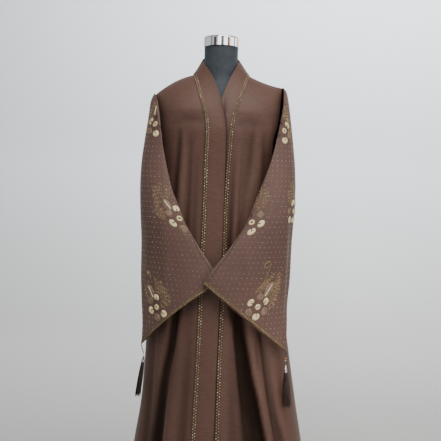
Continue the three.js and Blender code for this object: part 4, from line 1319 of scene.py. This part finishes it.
class Needlework:
    """Ribbon petals, cords and beads laid on one sleeve, as small closed solids in one mesh."""

    def __init__(self, chart):
        self.chart, self.pile, self.taken = chart, Pile(), []

    def move_to(self, place, layer, turn):
        self.s0, self.q0 = self.chart.find(*place, layer)
        # Along the front layer s runs with +X on the left sleeve and against it on the right.
        self.way = self.chart.way if layer == "outer" else -self.chart.way
        self.cos, self.sin = math.cos(math.radians(turn)), math.sin(math.radians(turn))

    def on_chart(self, u, v):
        """Places for offsets in the spray's own turned axes."""
        across, up = u * self.cos - v * self.sin, u * self.sin + v * self.cos
        return self.s0 + self.way * across, self.q0 + up

    def place(self, u, v, height):
        return self.chart.at(*self.on_chart(u, v), height)

    def keep_clear(self, u, v, radius):
        self.taken.append((*self.on_chart(u, v), radius))

    def dome(self, centre, outline, height, material, pleats=0, hollow=0.0):
        """A padded shape: outline is (n, 2) from its centre, with pleats running to the middle."""
        shares = np.array([1.0, 0.9, 0.7, 0.45, 0.2])
        profile = np.array([0.0, 0.62, 1.0, 1.0 - 0.5 * hollow, 1.0 - hollow])
        turn = np.arctan2(outline[:, 1], outline[:, 0])
        ripple = 1 - 0.22 * (1 + np.cos(pleats * turn)) / 2 if pleats else np.ones(len(turn))
        lift = height * profile[:, None] * np.where(shares[:, None] < 1, ripple[None, :], 1)
        flat = outline[None] * shares[:, None, None]
        u = np.concatenate([flat[..., 0].ravel(), outline[:, 0]]) + centre[0]
        v = np.concatenate([flat[..., 1].ravel(), outline[:, 1]]) + centre[1]
        n = len(outline)
        points = self.place(u, v, np.concatenate([lift.ravel(), np.full(n, -SEWN_IN)]))
        if np.isnan(points).any():
            return
        rows = np.arange(6 * n).reshape(6, n)
        sides = [strip_round(rows[k], rows[k + 1]) for k in range(4)] + [strip_round(rows[5], rows[0])]
        faces = facing_out(points, np.concatenate(sides), rows[4][None], rows[5][None, ::-1])
        self.pile.add(points, faces, material)

    def cord(self, u, v, radius, material, lift=None, closed=False):
        height = np.full(len(u), radius * 0.6 if lift is None else lift)
        path = self.place(np.asarray(u, float), np.asarray(v, float), height)
        if not np.isnan(path).any():
            self.pile.add(*tube(path, radius, 4, closed), material)

    def bead(self, u, v, radius):
        centre = self.place(np.array([u]), np.array([v]), radius * 0.6)[0]
        if not np.isnan(centre).any():
            self.pile.add(*ball(centre, radius), SEED)

    def petal(self, angle, kind):
        """One of a flower's petals; an ivory one is a pleated C round a dimple, whose shade is painted as
        small dark domes.
        """
        c, s = math.cos(angle), math.sin(angle)
        turn = round_turns(36)
        notch = 1 - 0.2 * np.exp(-(((turn - math.pi) / 0.42) ** 2))
        size = 1 + 0.05 * math.sin(7 * angle)
        along_it, across_it = PETAL["along"] * size, PETAL["across"] * size
        p, q = along_it * np.cos(turn) * notch, across_it * np.sin(turn) * notch
        outline = turned(p, q, c, s)
        centre = (PETAL["away"] * c, PETAL["away"] * s)
        if kind == "i":
            self.dome(centre, outline, PETAL["ivory"], IVORY, 11, 0.35)
            for back, radius in PETAL["dimples"]:
                self.painted_shade_hole((centre[0] - back * c, centre[1] - back * s), radius, PETAL["ivory"] * 0.95)
        else:
            if kind == "p":
                self.dome(centre, outline * 0.92, PETAL["pink"], PINK, 7, 0.15)
            on_ribbon = 0.5 if kind == "o" else PETAL["pink"] + 0.1
            for scale, radius, lift in ((1.0, 0.5, 0.5), (0.62, 0.35, on_ribbon)):
                loop = outline * scale
                self.cord(centre[0] + loop[:, 0], centre[1] + loop[:, 1], radius, THREAD, lift, True)

    # A small dark dome of painted shade, in a dimple or in the ring's hollow middle.
    def painted_shade_hole(self, centre, radius, height):
        self.dome(centre, np.stack(circle(0, 0, radius, round_turns(12)), -1), height, PAINTED_SHADE_DARK)

    def flower(self, kinds):
        for k, kind in enumerate(kinds):
            self.petal(math.radians(90 - 60 * k), kind)
        turn = round_turns(28)
        self.painted_shade_hole((0, 0), RING["painted_shade_hole"], 0.6)
        major, minor = RING["major"], RING["minor"]
        self.cord(*circle(0, 0, major, turn), minor, IVORY, minor * 0.5, True)
        self.cord(*circle(0, 0, major + minor + 0.8, turn), 0.55, THREAD, 0.4, True)
        self.keep_clear(0, 0, FLOWER_REACH)

    def leaf(self, u0, v0, u1, v1):
        length = math.hypot(u1 - u0, v1 - v0)
        c, s = (u1 - u0) / length, (v1 - v0) / length
        turn = round_turns(32)
        p = 0.5 * length * np.cos(turn)
        q = LEAF["half"] * length * np.sin(turn) * np.abs(np.sin(turn)) ** 0.35
        outline = turned(p, q, c, s)
        centre = ((u0 + u1) / 2, (v0 + v1) / 2)
        self.dome(centre, outline, LEAF["height"], PINK)
        u, v = (outline * LEAF["edge"] + centre).T
        self.cord(u, v, 0.6, THREAD, 0.5, True)
        share = np.linspace(0.02, 0.9, 12)
        self.cord(mix(u0, u1, share), mix(v0, v1, share), 1.0, MIDRIB, 1.2)
        self.keep_clear(*centre, length * LEAF["clear"])

    def arc(self, u0, v0, u1, v1, bow, count):
        """Places along a bowed line."""
        t = np.linspace(0, 1, count)
        length = math.hypot(u1 - u0, v1 - v0)
        across = (-(v1 - v0) / length, (u1 - u0) / length)
        swell = 4 * bow * t * (1 - t)
        return mix(u0, u1, t) + across[0] * swell, mix(v0, v1, t) + across[1] * swell

    def plume(self, u0, v0, u1, v1, bow):
        """A stem with small loops to both sides, which shrink towards the tip, and seed beads."""
        u, v = self.arc(u0, v0, u1, v1, bow, 16)
        self.cord(u, v, PLUME["stem"], THREAD)
        length = math.hypot(u1 - u0, v1 - v0)
        count = max(int(length / PLUME["pitch"]), 3)
        u, v = self.arc(u0, v0, u1, v1, bow, count)
        du, dv = np.gradient(u), np.gradient(v)
        turn = round_turns(9)
        for k in range(count):
            size = mix(*PLUME["loop"], k / count)
            step = math.hypot(du[k], dv[k])
            out = (-dv[k] / step, du[k] / step)
            for way in (-1, 1):
                cu = u[k] + out[0] * way * (size + 0.5) + du[k] / step * 1.2
                cv = v[k] + out[1] * way * (size + 0.5) + dv[k] / step * 1.2
                self.cord(*circle(cu, cv, size, turn), PLUME["thread"], THREAD, closed=True)
                if (k + way) % 3 == 0:
                    self.bead(cu, cv, PLUME["bead"])
        for way in (-1, 1):
            for at in np.linspace(0.1, 0.95, max(int(length / PLUME["side_pitch"]), 3)):
                su, sv = (np.interp(at * (count - 1), np.arange(count), line) for line in (u, v))
                aside = PLUME["side_reach"] * (1 - 0.3 * at)
                self.bead(su + way * out[0] * aside, sv + way * out[1] * aside, PLUME["side_bead"])
        self.keep_clear(u[count // 2], v[count // 2], length * PLUME["clear"])

    def curls(self, u0, v0, u1, v1, bow):
        """A row of small open curls."""
        length = math.hypot(u1 - u0, v1 - v0)
        count = max(int(length / CURL["pitch"]), 2)
        u, v = self.arc(u0, v0, u1, v1, bow, count)
        turn = np.linspace(0, 1.6 * np.pi, 12)
        for k in range(count):
            size = mix(*CURL["size"], k / count) * (0.55 + 0.45 * turn / turn[-1])
            self.cord(*circle(u[k], v[k], size, turn + CURL["turn"] * k), CURL["thread"], THREAD)
        self.keep_clear(u[count // 2], v[count // 2], length * CURL["clear"])

    def scroll(self, u, v, radius, tail):
        """A round scroll of two thin cords that runs out into a tail."""
        turn = np.linspace(1.8 * np.pi, -0.1 * np.pi, SCROLL["points"])
        growth = mix(0.4, 1.0, np.linspace(0, 1, SCROLL["points"]) ** 0.8)
        for k in (0, 1):
            size = (radius - SCROLL["step"] * k) * growth
            round_u, round_v = circle(u, v, size, turn)
            tail_u = tail[0] + SCROLL["tail_step"] * k
            line_u, line_v = self.arc(round_u[-1], round_v[-1], tail_u, tail[1], SCROLL["bow"], 16)
            path = np.concatenate([round_u, line_u[1:]]), np.concatenate([round_v, line_v[1:]])
            self.cord(*path, SCROLL["thread"], THREAD)
        for bead_u, bead_v in zip(*circle(u, v, (radius - 4) * 0.8, turn[::3])):
            self.bead(bead_u, bead_v, SCROLL["bead"])
        self.keep_clear(u, v, radius + 4)

    def spray(self, place, layer, turn, petals, layout):
        self.move_to(place, layer, turn)
        self.flower(petals)
        kinds = {"leaves": self.leaf, "scrolls": self.scroll, "plumes": self.plume, "curls": self.curls}
        for kind, sew in kinds.items():
            for row in layout.get(kind, []):
                sew(*row)


STUDS = {"pitch": 15.0, "radius": 1.05, "height": 0.75, "jitter": 0.3,
         "profile": ((1.0, -0.3), (1.0, 0.15), (0.55, 0.85))}
STUD_METALS = [
    plain_material("gold_stud", (0.5, 0.38, 0.2), 0.32, 0.75, 800, 0.0001, 0.1),
    plain_material("silver_stud", (0.64, 0.6, 0.54), 0.28, 0.75, 800, 0.0001, 0.1),
    plain_material("rose_stud", (0.44, 0.29, 0.22), 0.32, 0.7, 800, 0.0001, 0.1),
]


def studs(side, chart, taken):
    """Small pressed studs in straight rows over both layers of a sleeve."""
    pile = Pile()
    pitch = STUDS["pitch"]
    s, q = np.meshgrid(np.arange(-405, 406, pitch), np.arange(640, 1400, pitch))
    s = s.ravel() + rng.normal(0, STUDS["jitter"], s.size)
    q = q.ravel() + rng.normal(0, STUDS["jitter"], q.size)
    free = np.ones(len(s), bool)
    for a, b, radius in taken:
        free &= (s - a) ** 2 + (q - b) ** 2 > radius**2
    s, q = s[free], q[free]
    cos, sin = circle(0, 0, STUDS["radius"], round_turns(6))
    rows = np.arange(18).reshape(3, 6)
    sides = np.concatenate([strip_round(rows[0], rows[1]), strip_round(rows[1], rows[2])])
    metals = rng.choice(3, len(s), p=[0.5, 0.3, 0.2])
    for place_s, place_q, metal in zip(s, q, metals):
        points = np.concatenate([
            chart.at(place_s + cos * share, place_q + sin * share, height * STUDS["height"])
            for share, height in STUDS["profile"]
        ])
        if not np.isnan(points).any():
            pile.add(points, facing_out(points, sides, rows[0][None, ::-1], rows[2][None]), metal)
    pile.piece(f"studs_{side}", STUD_METALS, "stud")


# How far the rows of studs rise towards +X.
LEAN = {"left": -0.03, "right": 0.01}
for side in SIGN:
    chart = Chart(side, LEAN[side])
    work = Needlework(chart)
    for place, layer, turn, petals, layout in SPRAYS[side]:
        work.spray(place, layer, turn, petals, LAYOUTS[layout])
    work.pile.piece(f"embroidery_{side}", EMBROIDERY, "embroidery")
    studs(side, chart, work.taken)

# ---------------------------------------------------------------- tassels

TASSELS = {
    "left": {"cord": (-217.5, -79.6, 633.6), "bead": (-209, -81, 604), "cap_top": (-209, -81, 597),
             "cap_bottom": (-211, -81, 579), "end": (-225, -80, 472), "spread": 8.5},
    "right": {"cord": (219.6, -105.6, 627.6), "bead": (218, -108, 601), "cap_top": (219, -109, 588),
              "cap_bottom": (220, -110, 567), "end": (224, -115, 457), "spread": 13.5},
}
TASSEL = {"strands": 112, "cap_top": 2.2, "cap_bottom": 5.4, "strand": 0.5, "waist": 0.45, "fill": 0.7,
          "tuck": 3.0, "uneven": 9, "wave": 0.5}
# Down the cap: the share of its height and how far its rim stands out there.
CAP_PROFILE = table("share rim", [
    [0, 0], [0.06, 0.5], [0.12, 0], [0.5, 0], [0.86, 0], [0.9, 0.5], [0.96, 0.5], [1, 0],
])
ORANGE = plain_material("orange_bead", (0.5, 0.16, 0.035), 0.22, 0.0, 300, 0.0001, 0.1)
CORD = plain_material("dark_cord", (0.016, 0.011, 0.009), 0.7)
SILK = plain_material("silk", (0.026, 0.0135, 0.009), 0.42, 0.0, 400, 0.0002, 0.35)
CAP_SILVER = plain_material("cap_silver", (0.27, 0.26, 0.25), 0.32, 0.85, 900, 0.0002, 0.3)


# Down a tassel's cord: the share of it at each bead, the bead's radius, roundness and material.
BEADS = [(1, 1.9, 8, 12, 2), (0.74, 2.7, 7, 10, 1), (0.45, 1.8, 6, 8, 0), (0.2, 1.8, 6, 8, 0)]


def tassel_cord(side, place):
    pile = Pile()
    line = mix(place["cord"], place["bead"], np.linspace(0, 1, 9)[:, None])
    pile.add(*tube(np.concatenate([line, [place["cap_top"] + [0, 0, 0.3]]]), 1.2, 6))
    for share, radius, rings, sides, material in BEADS:
        pile.add(*ball(mix(place["cord"], place["bead"], share), radius, rings, sides), material)
    piece = pile.piece(f"tassel_beads_{side}", [CORD, ORANGE, SILVER], "bead")
    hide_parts(f"tassel_cord_{side}")


def tassel_strands(side, place, spread):
    pile = Pile()
    low, neck = place["cap_bottom"], TASSEL["cap_bottom"]
    turn = round_turns(20)
    share = CAP_PROFILE["share"]
    radius = mix(TASSEL["cap_top"], neck, share) + CAP_PROFILE["rim"]
    points = np.concatenate([
        mix(place["cap_top"], low, t) + stack(*circle(0, 0, r, turn), 0) for t, r in zip(share, radius)
    ])
    rows = np.arange(len(points)).reshape(len(share), -1)
    sides = grid_faces(len(share), len(turn), True)
    pile.add(points, facing_out(points, sides, rows[0][None, ::-1], rows[-1][None]))
    golden = math.pi * (3 - math.sqrt(5))
    t = np.linspace(0, 1, 9)
    waist = mix(neck, spread, TASSEL["fill"])
    full = np.interp(t, [0, TASSEL["waist"], 1], [neck - 0.9, waist, spread])
    for k in range(TASSEL["strands"]):
        out = math.sqrt((k + 0.5) / TASSEL["strands"])
        way = np.array([math.cos(k * golden), math.sin(k * golden), 0]) * out
        size, rate, start = rng.normal(0, TASSEL["wave"]), rng.uniform(1, 3), rng.uniform(0, 6)
        wave = size * np.sin(t * math.pi * rate + start) * t
        end = place["end"] + [0, 0, rng.uniform(0, TASSEL["uneven"])]
        path = mix(low + [0, 0, TASSEL["tuck"]], end, t[:, None]) + way * full[:, None]
        path[:, 0] += wave
        path[:, 1] += 0.5 * wave
        pile.add(*tube(path, TASSEL["strand"] * mix(1.3, 1.0, t), 3), 1)
    piece = pile.piece(f"tassel_strands_{side}", [CAP_SILVER, SILK], "silk")
    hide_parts(f"tassel_{side}")


for side in SIGN:
    spread = TASSELS[side].pop("spread")
    spots = {key: np.array(spot, float) for key, spot in TASSELS[side].items()}
    tassel_cord(side, spots)
    tassel_strands(side, spots, spread)

# ---------------------------------------------------------------- dress form and stand


def turned_solid(name, rings, material, node, sharp=50):
    """A solid through closed rings of points, from the lowest up, with flat ends."""
    rows, count = rings.shape[:2]
    low = np.arange(count)
    faces = [grid_faces(rows, count, True)[:, ::-1], low[None, ::-1], low[None] + (rows - 1) * count]
    piece = mesh_piece(name, rings.reshape(-1, 3), faces, material, sharp)
    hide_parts(node)


FORM_INSET = 0.995


def torso():
    z = np.concatenate([FORM["z"][:3], np.linspace(810, 1540, 120)])
    turn = round_turns(96)
    keys = ("half", "front", "back", "round")
    size = {key: np.interp(z, FORM["z"], FORM[key])[:, None] for key in keys}
    y = rounded(np.sin(turn), size["round"])
    x = rounded(np.cos(turn), size["round"])
    rings = stack(size["half"] * x, y * np.where(y < 0, size["front"], size["back"]), z[:, None])
    rings[..., :2] *= FORM_INSET
    turned_solid("form_cover", rings, JERSEY, "form_torso")


def lathe(name, profile, material, node, segments):
    """A turned metal piece, from its profile's radii and heights."""
    radius, z = np.array(profile, float).T[..., None]
    rings = stack(*circle(0, 0, radius, round_turns(segments)), z)
    turned_solid(name, rings, material, node, 30)


torso()
lathe("cap", [
    [53, 1540.3], [54, 1541.3], [54, 1542.2], [54, 1566], [54, 1567], [53.4, 1569.4],
    [51.6, 1571], [42, 1573.4], [24, 1575.2],
], CHROME, "neck_cap", 128)
lathe("pole", [[12.5, 14.3], [12.5, 781.7]], STEEL, "stand_pole", 48)
lathe("base", [
    [157, 0], [159.5, 1], [160, 3], [160, 10], [159, 12.4], [156.5, 13.6], [60, 14],
], STEEL, "stand_base", 128)

# ---------------------------------------------------------------- the room


def wall_material():
    """Matt paint with painted shade: a little deeper and warmer towards the floor."""
    material, tree, shader = node_material("pale_wall")
    place = add_node(tree, "TexCoord", {}).outputs["Object"]
    height = add_node(tree, "SeparateXYZ", {"Vector": place}).outputs["Z"]
    share = maths(tree, "MULTIPLY", height, 0.4)
    # Painted shade: the paint darkens towards the floor.
    paint = ramp(tree, share, (0.44, 0.43, 0.41), (0.66, 0.675, 0.69), 0.0, 0.5)
    feed(tree, shader, {"Base Color": paint, "Roughness": 0.9})
    return material


def stage_piece(name, points, faces, material):
    mesh = bpy.data.meshes.new(name)
    mesh.from_pydata(points, [], faces)
    mesh.materials.append(material)
    mesh.polygons.foreach_set("use_smooth", np.ones(len(faces), bool))
    made = bpy.data.objects.new(name, mesh)
    bpy.context.collection.objects.link(made)


def backdrop():
    """A pale floor that curves up into a wall well behind the object."""
    bend, wall_y, height, reach = 1.6, 5.2, 6.5, 12.0
    turn = np.linspace(0, np.pi / 2, 16)
    profile = [(-9.0, 0.0)]
    profile += [(wall_y - bend + bend * math.sin(t), bend - bend * math.cos(t)) for t in turn]
    profile += [(wall_y, height)]
    points = [(x, y, z) for y, z in profile for x in (-reach, reach)]
    faces = [(2 * k, 2 * k + 1, 2 * k + 3, 2 * k + 2) for k in range(len(profile) - 1)]
    stage_piece("backdrop", points, faces, wall_material())


# Cards low on the studio's walls that the polished cap mirrors, named by the share of the cap's
# width where each is seen, from left to right, and its glow.
CARDS = [
    (0.05, 0.2, (0.72, 0.71, 0.7)),
    (0.2, 0.23, (0.18, 0.22, 0.22)),
    (0.23, 0.29, (0.46, 0.56, 0.56)),
    (0.29, 0.36, (0.085, 0.022, 0.055)),
    (0.36, 0.4, (0.7, 0.7, 0.7)),
    (0.4, 0.49, (3.2, 3.2, 3.2)),
    (0.49, 0.55, (0.2, 0.2, 0.2)),
    (0.55, 0.57, (0.8, 0.8, 0.8)),
    (0.57, 0.67, (3.4, 3.4, 3.4)),
    (0.67, 0.71, (0.1, 0.09, 0.12)),
    (0.71, 0.75, (1.5, 0.7, 0.2)),
    (0.75, 0.85, (2.4, 2.6, 3.2)),
    (0.85, 0.88, (0.45, 0.45, 0.5)),
    (0.88, 0.92, (3.0, 3.0, 3.0)),
    (0.92, 0.96, (1.7, 1.0, 0.45)),
]
CARD_RING = {"radius": 3.2, "low": 1.98, "high": 2.26}


def card(start, stop, glow):
    """A flat card on a ring round the object, at the angle that mirrors to its place on the cap."""
    ring = CARD_RING["radius"]
    angles = [2 * math.asin(2 * share - 1) for share in (start, stop)]
    (x0, y0), (x1, y1) = [(ring * math.sin(angle), -ring * math.cos(angle)) for angle in angles]
    low, high = CARD_RING["low"], CARD_RING["high"]
    material, tree, shader = node_material("card")
    feed(tree, shader, {
        "Base Color": (0.01, 0.01, 0.01, 1),
        "Roughness": 1.0,
        "Emission Color": (*glow, 1),
        "Emission Strength": 1.0,
    })
    corners = [(x0, y0, low), (x1, y1, low), (x1, y1, high), (x0, y0, high)]
    stage_piece("card", corners, [(0, 1, 2, 3)], material)


def soft_light(name, place, target, size, power, colour=(1, 1, 1), spread=180):
    data = bpy.data.lights.new(name, "AREA")
    data.spread = math.radians(spread)
    data.shape = "RECTANGLE"
    data.size, data.size_y = size
    data.energy = power
    data.color = colour
    light = bpy.data.objects.new(name, data)
    light.location = place
    light.rotation_euler = (Vector(target) - Vector(place)).to_track_quat("-Z", "Y").to_euler()
    bpy.context.collection.objects.link(light)


def world_light(colour, strength):
    world = bpy.data.worlds.new("studio")
    world.use_nodes = True
    background = world.node_tree.nodes["Background"]
    background.inputs["Color"].default_value = (*colour, 1)
    background.inputs["Strength"].default_value = strength
    bpy.context.scene.world = world


CAMERA = {"place": (0.012, -2.5, 1.13), "target": (0.012, 0, 1.01), "tilt": 1.6, "lens": 65.9}


def camera():
    """The camera looks a little down at the garment, with the picture's slight tilt."""
    place = Vector(CAMERA["place"])
    tilt = math.radians(CAMERA["tilt"])
    ahead = (Vector(CAMERA["target"]) - place).normalized()
    level = ahead.cross(Vector((0, 0, 1))).normalized()
    rise = level.cross(ahead)
    right = level * math.cos(tilt) + rise * math.sin(tilt)
    up = -level * math.sin(tilt) + rise * math.cos(tilt)
    data = bpy.data.cameras.new("view")
    data.lens = CAMERA["lens"]
    data.sensor_width = 36
    seen = bpy.data.objects.new("view", data)
    seen.matrix_world = Matrix.Translation(place) @ Matrix((right, up, -ahead)).transposed().to_4x4()
    bpy.context.collection.objects.link(seen)
    bpy.context.scene.camera = seen


# ---------------------------------------------------------------- the stage, its lights and the camera set up


backdrop()
for start, stop, glow in CARDS:
    card(start, stop, glow)
world_light((0.9, 0.93, 1.0), 0.4)
soft_light("ceiling", (0.35, -1.5, 3.3), (0, 0, 1.15), (2.4, 1.4), 105, (1.0, 0.98, 0.95))
soft_light("fill_left", (-2.6, -2.4, 1.8), (0, 0, 1.0), (1.4, 2.0), 14, (0.93, 0.96, 1.0))
soft_light("fill_right", (2.6, -2.2, 2.0), (0, 0, 1.1), (1.4, 2.0), 44, (1.0, 0.97, 0.93))
soft_light("skirt_fill", (-0.1, -2.7, 0.75), (0.37, 0, 0.52), (0.4, 0.5), 0.75, (1.0, 0.95, 0.9), 13)
soft_light("wall_wash", (1.5, 2.4, 4.2), (1.1, 5.2, 2.5), (5.0, 0.8), 470, (0.92, 0.975, 1.0))
camera()
